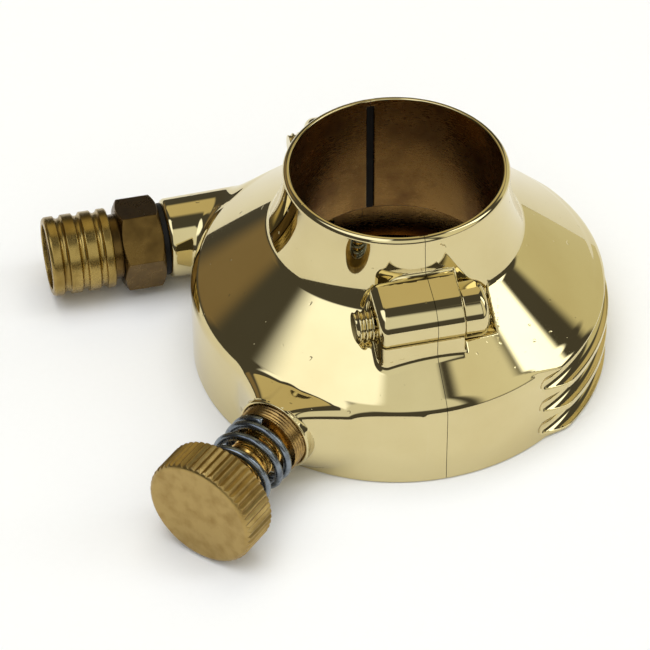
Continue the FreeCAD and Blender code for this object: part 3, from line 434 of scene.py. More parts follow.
PIT_SCALE, PIT_EDGES = 620.0, (0.75, 0.80)


def node_tree(name):
    """New material with its node tree and its shader."""
    material = bpy.data.materials.new(name)
    material.use_nodes = True
    tree = material.node_tree
    return material, tree, tree.nodes["Principled BSDF"]


def stretched_noise(tree, scale, stretch, detail=4.0):
    """Noise over the piece's own coordinates in metres, stretched along chosen axes."""
    where = tree.nodes.new("ShaderNodeTexCoord")
    mapping = tree.nodes.new("ShaderNodeMapping")
    mapping.inputs["Scale"].default_value = stretch
    noise = tree.nodes.new("ShaderNodeTexNoise")
    noise.inputs["Scale"].default_value = scale
    noise.inputs["Detail"].default_value = detail
    tree.links.new(where.outputs["Object"], mapping.inputs["Vector"])
    tree.links.new(mapping.outputs["Vector"], noise.inputs["Vector"])
    return noise.outputs["Fac"]


def ramp_between(tree, factor, low, high, first, last):
    """Maps low..high of a factor to first..last, clamped."""
    ramp_node = tree.nodes.new("ShaderNodeMapRange")
    ramp_node.inputs["From Min"].default_value = low
    ramp_node.inputs["From Max"].default_value = high
    ramp_node.inputs["To Min"].default_value = first
    ramp_node.inputs["To Max"].default_value = last
    tree.links.new(factor, ramp_node.inputs["Value"])
    return ramp_node.outputs["Result"]


def mix_colors(tree, factor, first, second):
    """Blends two colours by a factor."""
    mix = tree.nodes.new("ShaderNodeMix")
    mix.data_type = "RGBA"
    mix.inputs[6].default_value = (*first, 1)
    mix.inputs[7].default_value = (*second, 1)
    tree.links.new(factor, mix.inputs[0])
    return mix.outputs[2]


def bumped(tree, bsdf, *layers):
    """Stacks bump layers (height output, strength, distance in metres)."""
    normal = None
    for height, strength, distance in layers:
        bump = tree.nodes.new("ShaderNodeBump")
        bump.inputs["Strength"].default_value = strength
        bump.inputs["Distance"].default_value = distance
        tree.links.new(height, bump.inputs["Height"])
        if normal is not None:
            tree.links.new(normal, bump.inputs["Normal"])
        normal = bump.outputs["Normal"]
    tree.links.new(normal, bsdf.inputs["Normal"])


def metal(name, color, worn, rough, patch, grain, stretch=(1, 1, 1), grain_height=2e-6, wave_height=0.0,
          wave_scale=60.0, pit_depth=0.0):
    """Metal with cloudy tarnish, uneven polish, a grain, and optional slow waviness and small pits.

    patch and grain are noise scales per metre, heights and depths are metres, rough is the span of roughness.
    """
    material, tree, bsdf = node_tree(name)
    bsdf.inputs["Metallic"].default_value = 1.0
    clouds = stretched_noise(tree, patch, (1, 1, 1), 5.0)
    fine = stretched_noise(tree, grain, stretch, 3.0)
    tarnish = ramp_between(tree, clouds, 0.42, 0.72, 0.0, 1.0)
    tree.links.new(mix_colors(tree, tarnish, color, worn), bsdf.inputs["Base Color"])
    both = tree.nodes.new("ShaderNodeMath")
    both.operation = "ADD"
    tree.links.new(clouds, both.inputs[0])
    tree.links.new(fine, both.inputs[1])
    tree.links.new(ramp_between(tree, both.outputs[0], 0.7, 1.4, *rough), bsdf.inputs["Roughness"])
    layers = [(fine, 1.0, grain_height)]
    if wave_height:
        layers.append((stretched_noise(tree, wave_scale, (1, 1, 1), 1.0), 1.0, wave_height))
    if pit_depth:
        specks = stretched_noise(tree, PIT_SCALE, (1, 1, 1), 1.0)
        pits = ramp_between(tree, specks, *PIT_EDGES, 1.0, 0.0)
        layers.append((pits, 1.0, pit_depth))
    bumped(tree, bsdf, *layers)
    return material


def rubber(name, color, dusty):
    """Moulded rubber with a fine skin and patches of dust."""
    material, tree, bsdf = node_tree(name)
    skin = stretched_noise(tree, 1800.0, (1, 1, 1), 6.0)
    dust = stretched_noise(tree, 240.0, (1, 1, 1), 4.0)
    spread = ramp_between(tree, dust, 0.5, 0.8, 0.0, 0.6)
    tree.links.new(mix_colors(tree, spread, color, dusty), bsdf.inputs["Base Color"])
    bsdf.inputs["Specular IOR Level"].default_value = 0.2
    tree.links.new(ramp_between(tree, dust, 0.3, 0.7, 0.45, 0.7), bsdf.inputs["Roughness"])
    bumped(tree, bsdf, (skin, 1.0, 1.5e-5))
    return material


GOLD = metal("gold_plate", (0.65, 0.555, 0.30), (0.61, 0.51, 0.265), (0.015, 0.06), 70.0, 3200.0,
             grain_height=4e-8, wave_height=1.6e-6, wave_scale=110.0, pit_depth=2.5e-5)
BORE_BRASS = metal("bore_brass", (0.44, 0.25, 0.075), (0.17, 0.085, 0.03), (0.2, 0.4), 110.0, 900.0,
                   stretch=(1, 1, 7.5), grain_height=6e-6)
SATIN = metal("satin_brass", (0.39, 0.275, 0.085), (0.26, 0.17, 0.045), (0.22, 0.38), 260.0, 3600.0,
              grain_height=3e-6)
KNOB_FACE = metal("knob_brass", (0.41, 0.285, 0.10), (0.32, 0.21, 0.065), (0.28, 0.44), 420.0, 2400.0,
                  stretch=(1, 1, 0.12), grain_height=8e-6)
HEX_BRASS = metal("hex_brass", (0.15, 0.09, 0.025), (0.085, 0.05, 0.014), (0.24, 0.4), 300.0, 3000.0,
                  grain_height=3e-6)
BUSH_BRONZE = metal("bush_bronze", (0.40, 0.26, 0.09), (0.16, 0.10, 0.045), (0.16, 0.34), 500.0, 3000.0)
SHAFT_BRASS = metal("shaft_brass", (0.80, 0.52, 0.14), (0.50, 0.28, 0.07), (0.12, 0.28), 500.0, 3000.0)
SPRING_STEEL = metal("spring_steel", (0.22, 0.25, 0.285), (0.08, 0.09, 0.105), (0.16, 0.34), 500.0, 2800.0,
                     grain_height=2e-6)
PLAIN_STEEL = metal("plain_steel", (0.52, 0.52, 0.52), (0.36, 0.35, 0.34), (0.2, 0.36), 300.0, 2600.0)
RUBBER = rubber("seal_rubber", (0.006, 0.0055, 0.005), (0.03, 0.028, 0.025))
SLOT_MATERIALS = {
    "gold_plate": GOLD, "bore_brass": BORE_BRASS, "satin_brass": SATIN,
    "spring_steel": SPRING_STEEL, "plain_steel": PLAIN_STEEL, "seal_rubber": RUBBER,
}
DARKER_NODES = ("socket_barrel",)
for entry in frame["record"]["subparts"]:
    node_mesh = frame["nodes"][entry["node"]].data
    node_mesh.materials.clear()
    darker = entry["node"] in DARKER_NODES
    node_mesh.materials.append(HEX_BRASS if darker else SLOT_MATERIALS[entry["material_slot"]])

# ---- body halves ----

BODY_CELL = 0.36
BODY_RADII, BODY_HEIGHTS = (17.9, 53.5), (-1, 43.4)
HALF_ARC = WALL * (math.pi / 2 + 0.04)
CORNER_COSINE = math.cos(math.radians(13))
HIDDEN_RADIUS, HIDDEN_HEIGHT, SEAM_REACH, SEAM_RADIUS = 35.0, 18.0, 0.8, 20.2


def refine_edges(mesh):
    """Splits mesh edges that turn round a corner of the body, then settles the new points.

    Corners inside the chamber and beside the seal slot at the seam keep their first edges.
    """
    mesh.verts.ensure_lookup_table()
    mesh.verts.index_update()
    points = np.array([v.co for v in mesh.verts])
    normals = unit(gradient(body_shape, points))
    edges = mesh.edges[:]
    ends = np.array([(e.verts[0].index, e.verts[1].index) for e in edges])
    first, second = ends[:, 0], ends[:, 1]
    turned = (normals[first] * normals[second]).sum(1) < CORNER_COSINE
    middle = 0.5 * (points[first] + points[second])
    radius = np.hypot(middle[:, 0], middle[:, 1])
    chamber = (radius < HIDDEN_RADIUS) & (middle[:, 2] < HIDDEN_HEIGHT)
    hidden = chamber | (np.abs(middle[:, 0]) < SEAM_REACH) & (radius < SEAM_RADIUS)
    chosen = np.nonzero(turned & ~hidden)[0]
    old = len(points)
    bmesh.ops.subdivide_edges(mesh, edges=[edges[i] for i in chosen], cuts=1, use_grid_fill=True)
    mesh.verts.ensure_lookup_table()
    fresh = mesh.verts[old:]
    moved = settled(body_shape, np.array([v.co for v in fresh]), 0.2)
    for v, co in zip(fresh, moved):
        v.co = co


def half_body(name, side, vertices, faces, node):
    """One half of the body mesh, cut just off the seam plane and closed with a flat face.

    The seam face, the bore, the chamber and the cover's recess are bare brass, the rest is plated.
    """
    mesh = bmesh.new()
    made = [mesh.verts.new(v) for v in vertices]
    for quad in faces:
        mesh.faces.new([made[i] for i in quad])
    refine_edges(mesh)
    plane = Vector((side * SEAM, 0, 0))
    cut = bmesh.ops.bisect_plane(
        mesh, geom=mesh.verts[:] + mesh.edges[:] + mesh.faces[:], dist=1e-5, plane_co=plane,
        plane_no=Vector((-side, 0, 0)), clear_outer=True)
    rim = [e for e in cut["geom_cut"] if isinstance(e, bmesh.types.BMEdge)]
    before = set(mesh.faces)
    bmesh.ops.triangle_fill(mesh, use_beauty=True, edges=rim, normal=Vector((-side, 0, 0)))
    cap = {f for f in mesh.faces if f not in before}
    mesh.verts.index_update()
    mesh.faces.index_update()
    points = np.array([v.co for v in mesh.verts])
    normals = unit(gradient(body_shape, points))
    radius = np.hypot(points[:, 0], points[:, 1])
    z = points[:, 2]
    inner = (radius < 19.2) & (z < HEIGHT - 0.35)
    inner |= (radius < CHAMBER + 0.3) & (z < LEDGE + 0.3) | (radius < RECESS + 0.2) & (z < RECESS_TOP + 0.2)
    data = bpy.data.meshes.new(name)
    for v in mesh.verts:
        v.co = v.co * MM
    loops, slots = [], []
    for face in mesh.faces:
        flat = face in cap
        slots.append(1 if flat or all(inner[v.index] for v in face.verts) else 0)
        for v in face.verts:
            loops.append((-side, 0.0, 0.0) if flat else tuple(normals[v.index]))
    mesh.to_mesh(data)
    mesh.free()
    data.polygons.foreach_set("use_smooth", np.ones(len(data.polygons), bool))
    data.polygons.foreach_set("material_index", np.array(slots, np.int32))
    data.normals_split_custom_set(loops)
    place(linked(name, data), "housing", "gold_plate", node, GOLD, BORE_BRASS)


GRID_LOW = (BODY_RADII[0], -HALF_ARC, BODY_HEIGHTS[0])
GRID_HIGH = (BODY_RADII[1], HALF_ARC, BODY_HEIGHTS[1])
for half_name, half_side, half_node in (("left_half", -1, "body_left"), ("right_half", 1, "body_right")):
    half_vertices, _, half_faces = surface(body_shape, GRID_LOW, GRID_HIGH, BODY_CELL, swept(half_side))
    half_body(half_name, half_side, half_vertices, half_faces, half_node)

# ---- clamp screws: stations along X, from the tip at the left to the head ----

SCREW_TIP, SCREW_END, SCREW_RADIUS = -13.9, 6.0, 3.0
THREAD_END, THREAD_MEAN, THREAD_DEPTH, THREAD_PITCH = -10.3, 2.8, 0.2, 1.15
HEAD_RADIUS, HEAD_END, HEAD_ROUND, SOCKET_HALF_FLATS, SOCKET_BOTTOM = 5.0, 9.55, 1.5, 2.2, 7.05


def clamp_screw_shape(side):
    """Socket-head screw through a lug; its thread shows past the left end of the lug."""
    def shape(p):
        x = p[:, 0]
        v, w = p[:, 1] - side * LUG_Y, p[:, 2] - LUG_Z
        r = np.hypot(v, w)
        head = round_max(r - HEAD_RADIUS, x - HEAD_END, HEAD_ROUND)
        head = round_max(head, LUG_RIGHT - x, 0.15)
        pairs = np.maximum(np.abs(0.5 * v + 0.866 * w), np.abs(0.5 * v - 0.866 * w))
        socket = np.maximum(np.abs(v), pairs) - SOCKET_HALF_FLATS
        head = round_max(head, -np.maximum(socket, SOCKET_BOTTOM - x), 0.15)
        turn = np.arctan2(w, v) / (2 * math.pi)
        wave = THREAD_DEPTH * np.cos(2 * math.pi * ((x - LUG_LEFT) / THREAD_PITCH + turn))
        shank = r - np.where(x < THREAD_END, THREAD_MEAN + wave, SCREW_RADIUS)
        shank = round_max(shank * 0.85, np.maximum(SCREW_TIP - x, x - SCREW_END), 0.4)
        return np.minimum(head, shank)
    return shape


for screw_name, screw_side in (("front_clamp_screw", -1), ("rear_clamp_screw", 1)):
    screw_y = screw_side * LUG_Y
    shaped("turned_" + screw_name, clamp_screw_shape(screw_side), (-14.5, screw_y - 5.5, 23),
           (10.2, screw_y + 5.5, 34), 0.16, "housing", "gold_plate", GOLD, screw_name)

# ---- needle knob, bush, spindle, washer: stations along the needle axis ----

KNOB_START, KNOB_END, KNOB_RADIUS, KNOB_HOLE = 58.1, 65.3, 10.55, 4.02
KNOB_TEETH, TOOTH_TIP, TOOTH_DEPTH = 50, 10.6, 0.5
SET_SCREW_STATION, SET_SCREW_HOLE, SET_SCREW_INNER_END = 61.2, 1.52, 3.0
BUSH_START, BUSH_END, BUSH_RADIUS, BUSH_HOLE = 36.0, 44.6, 6.5, 4.06
BUSH_PITCH, BUSH_THREAD_START, BUSH_THREAD_DEPTH = 0.62, 41.8, 0.24
SHANK_START, SHANK_END, SHANK_RADIUS = 34.2, 63.6, 4.0
SHANK_THREAD_START, SHANK_THREAD_END, SHANK_THREAD_DEPTH = 42, 57.5, 0.22
NEEDLE_TIP, NEEDLE_END, TIP_RADIUS, NEEDLE_RADIUS, NEEDLE_SLOPE = 27.45, 34.5, 0.35, 2.0, 0.516
ORING_STATION, ORING_HALF_WIDTH, ORING_FLOOR = 41.0, 0.75, 2.86
WASHER_START, WASHER_END, WASHER_RADIUS, WASHER_HOLE = 57.0, 57.8, 7.0, 4.1


def saw(turns):
    """Triangle wave: 0 in the middle of each turn, 1 at its ends."""
    return np.abs(turns - np.floor(turns) - 0.5) * 2


def knob_shape(u, v, s):
    """Disc with a toothed rim, a blind hole for the spindle and a side hole for its set screw."""
    r = np.hypot(u, v)
    tooth = saw(np.arctan2(v, u) * KNOB_TEETH / (2 * math.pi))
    flank = (r - TOOTH_TIP + TOOTH_DEPTH * tooth) * 0.8
    body = round_max(r - KNOB_RADIUS, s - KNOB_END, 1.1)
    body = round_max(body, KNOB_START - s, 0.45)
    body = round_max(body, flank, 0.06)
    body = np.maximum(body, -np.maximum(r - KNOB_HOLE, s - SHANK_END))
    hole = np.hypot(u, s - SET_SCREW_STATION) - SET_SCREW_HOLE
    return np.maximum(body, -np.maximum(hole, v + SET_SCREW_INNER_END))


def bush_shape(u, v, s):
    """Bush with a fine thread on the part that stands out of the boss."""
    r = np.hypot(u, v)
    tooth = saw(s / BUSH_PITCH - np.arctan2(v, u) / (2 * math.pi))
    depth = np.where(s > BUSH_THREAD_START, BUSH_THREAD_DEPTH, 0.0)
    outer = (r - BUSH_RADIUS + depth * tooth) * 0.8
    body = np.maximum(outer, np.maximum(BUSH_START - s, s - BUSH_END))
    return np.maximum(body, BUSH_HOLE - r)


def spindle_shape(u, v, s):
    """Threaded shank with an O-ring groove and a tapered needle; the thread has a 1 mm pitch."""
    r = np.hypot(u, v)
    tooth = saw(s - np.arctan2(v, u) / (2 * math.pi))
    depth = np.where((s > SHANK_THREAD_START) & (s < SHANK_THREAD_END), SHANK_THREAD_DEPTH, 0.0)
    thread = (r - SHANK_RADIUS + depth * tooth) * 0.85
    shank = np.maximum(thread, np.maximum(SHANK_START - s, s - SHANK_END))
    groove = np.maximum(ORING_FLOOR - r, np.abs(s - ORING_STATION) - ORING_HALF_WIDTH)
    shank = np.maximum(shank, -groove)
    needle = r - np.clip(TIP_RADIUS + (s - NEEDLE_TIP) * NEEDLE_SLOPE, TIP_RADIUS, NEEDLE_RADIUS)
    return np.minimum(shank, np.maximum(needle * 0.85, np.maximum(NEEDLE_TIP - s, s - NEEDLE_END)))


def washer_shape(u, v, s):
    """Flat washer between the lock spring and the knob."""
    r = np.hypot(u, v)
    ring = round_max(r - WASHER_RADIUS, np.maximum(WASHER_START - s, s - WASHER_END), 0.15)
    return np.maximum(ring, WASHER_HOLE - r)


def spot(foot, axes, station):
    """Point on an axis."""
    return foot + axes[2] * station


def around(foot, axes, low, high, reach):
    """Box round a piece on a tilted axis."""
    ends = np.array([foot + axes[2] * low, foot + axes[2] * high])
    spread = reach * np.sqrt(np.maximum(1 - axes[2] ** 2, 0)) + 0.6
    return ends.min(0) - spread, ends.max(0) + spread


def shape_along(foot, axes, rows):
    """Meshes each row's piece on one axis. After the shape come its first and last station and its reach."""
    for name, shape, low, high, reach, cell, body, slot, material, node in rows:
        corner_low, corner_high = around(foot, axes, low, high, reach)
        shaped(name, framed(shape, foot, axes), corner_low, corner_high, cell, body, slot, material, node)


shape_along(NEEDLE_FOOT, NEEDLE_AXES, (
    ("knurled_disc", knob_shape, KNOB_START, KNOB_END, 10.7, 0.13,
     "knob", "satin_brass", KNOB_FACE, "knurled_knob"),
    ("threaded_bush", bush_shape, BUSH_START, BUSH_END, 6.6, 0.14,
     "housing", "satin_brass", BUSH_BRONZE, "gland_bush"),
    ("threaded_spindle", spindle_shape, 27.4, 63.7, 4.1, 0.16,
     "knob", "satin_brass", SHAFT_BRASS, "adjusting_spindle"),
    ("spring_washer", washer_shape, WASHER_START, WASHER_END, 7.1, 0.16,
     "travel_washer", "plain_steel", PLAIN_STEEL, "thrust_washer"),
))

# ---- springs: coils that run from one station to another on the needle and inlet axes ----

WIRE_SIDES, COIL_STEPS, CLOSED_GAP, OPENING = 20, 64, 0.06, 0.22


def wire(name, path, radius, axis):
    """Round wire along a path that winds round an axis."""
    tangents = unit(np.gradient(path, axis=0))
    across = unit(np.cross(tangents, axis))
    upward = np.cross(tangents, across)
    turn = np.linspace(0, 2 * math.pi, WIRE_SIDES, endpoint=False)
    ring = across[:, None, :] * np.cos(turn)[None, :, None] + upward[:, None, :] * np.sin(turn)[None, :, None]
    points = (path[:, None, :] + radius * ring).reshape(-1, 3)
    count = len(path)
    faces = []
    for i in range(count - 1):
        here, there = i * WIRE_SIDES, (i + 1) * WIRE_SIDES
        for j in range(WIRE_SIDES):
            k = (j + 1) % WIRE_SIDES
            faces.append((here + j, here + k, there + k, there + j))
    mesh = bpy.data.meshes.new(name)
    ends = [tuple(reversed(range(WIRE_SIDES))), tuple(range((count - 1) * WIRE_SIDES, count * WIRE_SIDES))]
    mesh.from_pydata([tuple(p * MM) for p in points], [], faces + ends)
    mesh.polygons.foreach_set("use_smooth", np.ones(len(mesh.polygons), bool))
    mesh.update()
    return linked(name, mesh)


def coil_path(foot, axes, mean, start, end, radius, closed_start, open_turns, closed_end, first_turn):
    """Middle line of a coil of one mean radius, with closed turns at both ends."""
    closed_pitch = 2 * radius + CLOSED_GAP
    turns = closed_start + open_turns + closed_end
    phase = np.linspace(0, turns, int(turns * COIL_STEPS) + 1)
    opening = np.tanh((phase - closed_start) / OPENING)
    closing = np.tanh((phase - closed_start - open_turns) / OPENING)
    opened = 0.5 * (opening - closing)
    opened_height = end - start - turns * closed_pitch
    extra = np.cumsum(opened)
    height = start + phase * closed_pitch + opened_height * extra / extra[-1]
    angle = 2 * math.pi * (phase + first_turn)
    return (foot + mean * np.cos(angle)[:, None] * axes[0] + mean * np.sin(angle)[:, None] * axes[1]
            + height[:, None] * axes[2])


def sprung(name, path, radius, foot, axes, first, last, node):
    """Coil spring of round wire along its path, with its CAD node hidden."""
    coil = wire(name, path, radius, axes[2])
    coil.data.materials.append(SPRING_STEEL)
    start, end = (tuple(spot(foot, axes, station) * MM) for station in (first, last))
    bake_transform(coil)
    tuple(start)
    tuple(end)
    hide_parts(node)


LOCK_WIRE, SLEEVE_WIRE, POPPET_WIRE = 0.75, 0.36, 0.3
lock_path = coil_path(NEEDLE_FOOT, NEEDLE_AXES, 5.95, 45.4, 56.2, LOCK_WIRE, 1.25, 2.0, 0.75, 0.25)
sprung("coiled_lock_spring", lock_path, LOCK_WIRE, NEEDLE_FOOT, NEEDLE_AXES,
       46.6, 55.4, "lock_spring")
sleeve_path = coil_path(INLET_FOOT, INLET_AXES, 5.6, 48.35, 53.25, SLEEVE_WIRE, 0.75, 2.5, 0.75, 0.0)
sprung("coiled_sleeve_spring", sleeve_path, SLEEVE_WIRE, INLET_FOOT, INLET_AXES,
       48.0, 53.6, "sleeve_spring")
poppet_path = coil_path(INLET_FOOT, INLET_AXES, 2.5, 40.4, 50.05, POPPET_WIRE, 0.75, 4.5, 0.75, 0.0)
sprung("coiled_poppet_spring", poppet_path, POPPET_WIRE, INLET_FOOT, INLET_AXES,
       40.1, 50.3, "poppet_spring")

# ---- quick coupler: stations along the inlet axis ----

NIPPLE_RADIUS, NIPPLE_START, NIPPLE_HOLE, SOCKET_HOLE, SOCKET_FLOOR = 4.9, 29.2, 2.2, 5.24, 40.0
HEX_START, HEX_END, HEX_HALF_FLATS, HEX_TURN = 38.5, 46.5, 7.5, 13.4
CHAMFER_SIN, CHAMFER_COS, CHAMFER_FRONT, CHAMFER_BACK = 0.5, 0.866, 7.1, 7.25
SLEEVE_START, SLEEVE_END, SLEEVE_RADIUS = 48.0, 60.0, 7.48
SLEEVE_GROOVES, SLEEVE_GROOVE_FIRST, SLEEVE_GROOVE_PITCH = 3, 50.3, 3.45
SLEEVE_GROOVE_AXIS, SLEEVE_GROOVE_RADIUS = 7.571, 0.691
SPRING_ROOM, SPRING_STOP, BALL_HOLD, BALL_RAMP_START, BALL_RAMP_END = 6.3, 53.7, 5.58, 55.75, 57.2
BALL_RAMP_SLOPE, MOUTH, RING_STOP, RING_START, RING_END = 0.393, 6.15, 5.75, 58.12, 58.32


def hex_shape(u, v, s):
    """Hexagon with chamfered corners, its nipple in the boss and its socket for the barrel."""
    r = np.hypot(u, v)
    flats = np.full(u.shape, -99.0)
    for index in range(3):
        turn = math.radians(HEX_TURN + 60 * index)
        flats = np.maximum(flats, np.abs(u * math.cos(turn) + v * math.sin(turn)) - HEX_HALF_FLATS)
    front = (r - CHAMFER_FRONT) * CHAMFER_SIN + (s - HEX_END) * CHAMFER_COS
    back = (r - CHAMFER_BACK) * CHAMFER_SIN + (HEX_START - s) * CHAMFER_COS
    nut = round_max(flats, front, 0.25, 0.6)
    nut = round_max(nut, back, 0.2, 0.6)
    nut = round_max(nut, np.maximum(s - HEX_END, HEX_START - s), 0.15)
    nipple = rod(r, s, NIPPLE_RADIUS, NIPPLE_START, 39.5, 0.3)
    solid = np.minimum(nut, nipple)
    solid = np.maximum(solid, NIPPLE_HOLE - r)
    return np.maximum(solid, -np.maximum(r - SOCKET_HOLE, SOCKET_FLOOR - s))


def sleeve_shape(u, v, s):
    """Pull-back sleeve with three round grooves outside and steps inside for the spring, balls and ring."""
    r = np.hypot(u, v)
    body = round_max(r - SLEEVE_RADIUS, s - SLEEVE_END, 0.75)
    body = round_max(body, SLEEVE_START - s, 0.4)
    for index in range(SLEEVE_GROOVES):
        along = s - SLEEVE_GROOVE_FIRST - SLEEVE_GROOVE_PITCH * index
        groove = np.hypot(r - SLEEVE_GROOVE_AXIS, along) - SLEEVE_GROOVE_RADIUS
        body = round_max(body, -groove, 0.14)
    taper = BALL_HOLD + (s - BALL_RAMP_START) * BALL_RAMP_SLOPE
    inner = np.where(s < BALL_RAMP_END, taper, MOUTH)
    inner = np.where(s < BALL_RAMP_START, BALL_HOLD, inner)
    inner = np.where(s < SPRING_STOP, SPRING_ROOM, inner)
    inner = np.where((s > RING_START) & (s < RING_END), RING_STOP, inner)
    return round_max(body, inner - r, 0.2)


shape_along(INLET_FOOT, INLET_AXES, (
    ("hexagon", hex_shape, NIPPLE_START, HEX_END, 8.7, 0.16,
     "housing", "satin_brass", HEX_BRASS, "coupler_hex"),
    ("grooved_sleeve", sleeve_shape, SLEEVE_START, SLEEVE_END, 7.6, 0.14,
     "sleeve", "satin_brass", SATIN, "coupler_sleeve"),
))

# ---- floor ----

FLOOR_RADIUS, FLOOR_SIDES = 0.30, 96
floor_mesh = bpy.data.meshes.new("floor")
floor_turns = [2 * math.pi * i / FLOOR_SIDES for i in range(FLOOR_SIDES)]
floor_edge = [(FLOOR_RADIUS * math.cos(t), FLOOR_RADIUS * math.sin(t), 0) for t in floor_turns]
floor_mesh.from_pydata(floor_edge, [], [tuple(range(FLOOR_SIDES))])
floor = linked("floor", floor_mesh)
floor_material, floor_tree, floor_bsdf = node_tree("paper")
floor_bsdf.inputs["Roughness"].default_value = 0.8
floor_bsdf.inputs["Specular IOR Level"].default_value = 0.1
paper_grain = stretched_noise(floor_tree, 900.0, (1, 1, 1))
paper_color = mix_colors(floor_tree, paper_grain, (0.93, 0.93, 0.93), (0.95, 0.95, 0.95))
floor_tree.links.new(paper_color, floor_bsdf.inputs["Base Color"])
floor_mesh.materials.append(floor_material)

# ---- lights: two lamps that mirrors do not show, and a studio of cards that they do ----

TURN = math.radians(-13.126)
LIT_POINT = Vector((0, 0, 0.02))


def studio_point(azimuth, elevation, distance):
    """Point round the object; azimuth runs anticlockwise, seen from above, from the camera's right."""
    a, e = math.radians(azimuth) + TURN, math.radians(elevation)
    return Vector((math.cos(a) * math.cos(e), math.sin(a) * math.cos(e), math.sin(e))) * distance


def panel(name, azimuth, elevation, distance, width, height, radiance, color):
    """Rectangular light that faces the object and leaves no reflection."""
    lamp = bpy.data.lights.new(name, "AREA")
    lamp.shape = "RECTANGLE"
    lamp.size, lamp.size_y = width, height
    lamp.energy = radiance * math.pi * width * height
    lamp.color = color
    item = linked(name, lamp)
    item.location = studio_point(azimuth, elevation, distance)
    item.rotation_mode = "QUATERNION"
    item.rotation_quaternion = (LIT_POINT - item.location).to_track_quat("-Z", "Y")
    item.visible_glossy = False


panel("key_light", -125, 60, 1.3, 1.2, 1.0, 0.5, (1, 1, 1))
panel("floor_fill", 0, 90, 1.1, 0.9, 0.9, 2.25, (0.97, 0.985, 1.0))

world = bpy.data.worlds.new("studio")
bpy.context.scene.world = world
world.use_nodes = True
sky = world.node_tree
direction = sky.nodes.new("ShaderNodeTexCoord")
aligned = sky.nodes.new("ShaderNodeMapping")
aligned.inputs["Rotation"].default_value = (0, 0, -TURN)
parts = sky.nodes.new("ShaderNodeSeparateXYZ")
sky.links.new(direction.outputs["Generated"], aligned.inputs["Vector"])
sky.links.new(aligned.outputs["Vector"], parts.inputs["Vector"])


def sky_math(operation, first, second=None):
    """Math node of the sky with one or two linked inputs."""
    node = sky.nodes.new("ShaderNodeMath")
    node.operation = operation
    sky.links.new(first, node.inputs[0])
    if second is not None:
        sky.links.new(second, node.inputs[1])
    return node.outputs[0]


def sky_step(value, centre, soft, rising):
    """Smooth step of an angle in radians about a centre in degrees."""
    node = sky.nodes.new("ShaderNodeMapRange")
    node.interpolation_type = "SMOOTHSTEP"
    node.inputs["From Min"].default_value = math.radians(centre - soft)
    node.inputs["From Max"].default_value = math.radians(centre + soft)
    node.inputs["To Min"].default_value = 0.0 if rising else 1.0
    node.inputs["To Max"].default_value = 1.0 if rising else 0.0
    sky.links.new(value, node.inputs["Value"])
    return node.outputs["Result"]


# Each card: degrees to the right of the front (from, to), degrees up (from, to), soft edge, radiance.
# The sixth and seventh are one card that reaches across the back.
BETWEEN_CARDS, BACKDROP = (0.085, 0.08, 0.07), (0.97, 0.97, 0.97)
CARDS = (
    ((-150, -112), (4, 26), 5, (0.27, 0.20, 0.11)),
    ((-24, 34), (15, 62), 3, (0.95, 0.96, 0.90)),
    ((42, 77), (0, 62), 4, (0.95, 0.93, 0.78)),
    ((80, 99), (22, 66), 2, (2.6, 2.7, 2.8)),
    ((112, 152), (-14, 30), 3, (0.78, 0.74, 0.52)),
    ((138, 192), (34, 78), 5, (0.72, 0.62, 0.36)),
    ((-192, -138), (34, 78), 5, (0.72, 0.62, 0.36)),
    ((-92, -10), (43, 84), 5, (1.65, 1.72, 1.85)),
)
toward = sky_math("MULTIPLY", parts.outputs["Y"])
toward.node.inputs[1].default_value = -1.0
azimuth = sky_math("ARCTAN2", parts.outputs["X"], toward)
elevation = sky_math("ARCSINE", parts.outputs["Z"])
radiance = None
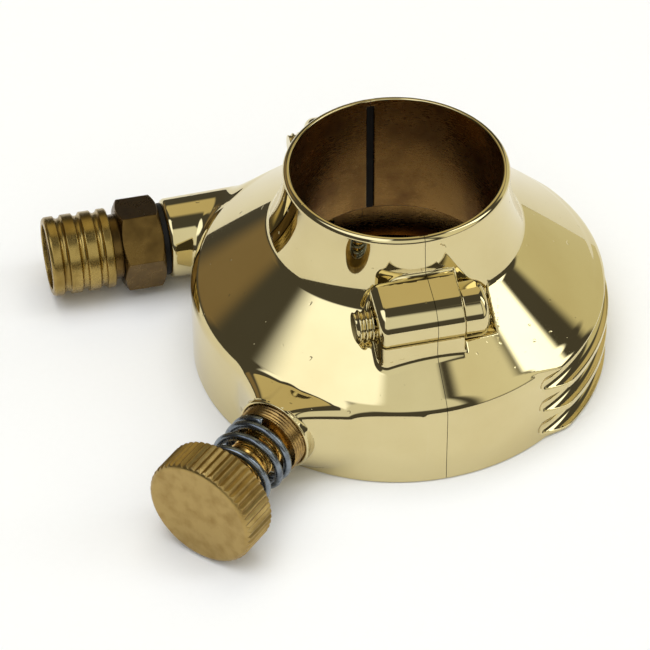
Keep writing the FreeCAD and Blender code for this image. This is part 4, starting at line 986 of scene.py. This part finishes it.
for (left, right), (bottom, top), soft, card_color in CARDS:
    sides = sky_step(azimuth, left, soft, True), sky_step(azimuth, right, soft, False)
    ends = sky_step(elevation, bottom, soft, True), sky_step(elevation, top, soft, False)
    inside_card = sky_math("MULTIPLY", sky_math("MULTIPLY", *sides), sky_math("MULTIPLY", *ends))
    card = sky.nodes.new("ShaderNodeMix")
    card.data_type = "RGBA"
    sky.links.new(inside_card, card.inputs[0])
    if radiance is None:
        card.inputs[6].default_value = (*BETWEEN_CARDS, 1)
    else:
        sky.links.new(radiance, card.inputs[6])
    card.inputs[7].default_value = (*card_color, 1)
    radiance = card.outputs[2]
seen = sky.nodes.new("ShaderNodeMix")
seen.data_type = "RGBA"
rays = sky.nodes.new("ShaderNodeLightPath")
sky.links.new(rays.outputs["Is Camera Ray"], seen.inputs[0])
sky.links.new(radiance, seen.inputs[6])
seen.inputs[7].default_value = (*BACKDROP, 1)
sky.links.new(seen.outputs[2], sky.nodes["Background"].inputs["Color"])

# ---- camera: looks down at the point AIM_HEIGHT up the axis, then slides across its own view ----

ELEVATION, ROLL = math.radians(42.636), math.radians(-0.393)
FOCAL_PIXELS, IMAGE_WIDTH, SENSOR_WIDTH = 3312.6, 650, 36.0
DISTANCE, SLIDE_X, SLIDE_Y, AIM_HEIGHT = 602.29, 12.78, 11.92, 20


def camera_matrix():
    """Place of the camera, in metres."""
    cos_e, sin_e = math.cos(ELEVATION), math.sin(ELEVATION)
    forward = Vector((0, cos_e, -sin_e))
    right, up = Vector((1, 0, 0)), Vector((0, sin_e, cos_e))
    r = math.cos(ROLL) * right + math.sin(ROLL) * up
    u = -math.sin(ROLL) * right + math.cos(ROLL) * up
    centre = Vector((0, 0, AIM_HEIGHT)) - r * SLIDE_X - u * SLIDE_Y - forward * DISTANCE
    turn = Matrix.Rotation(TURN, 3, "Z")
    axes = Matrix((turn @ r, turn @ u, turn @ -forward)).transposed()
    matrix = axes.to_4x4()
    matrix.translation = turn @ centre * MM
    return matrix


camera_data = bpy.data.cameras.new("camera")
camera_data.sensor_width = SENSOR_WIDTH
camera_data.lens = FOCAL_PIXELS / IMAGE_WIDTH * SENSOR_WIDTH
camera_data.clip_start = 0.01
camera = linked("camera", camera_data)
camera.matrix_world = camera_matrix()
bpy.context.scene.camera = camera
bpy.context.scene.view_settings.view_transform = "Standard"
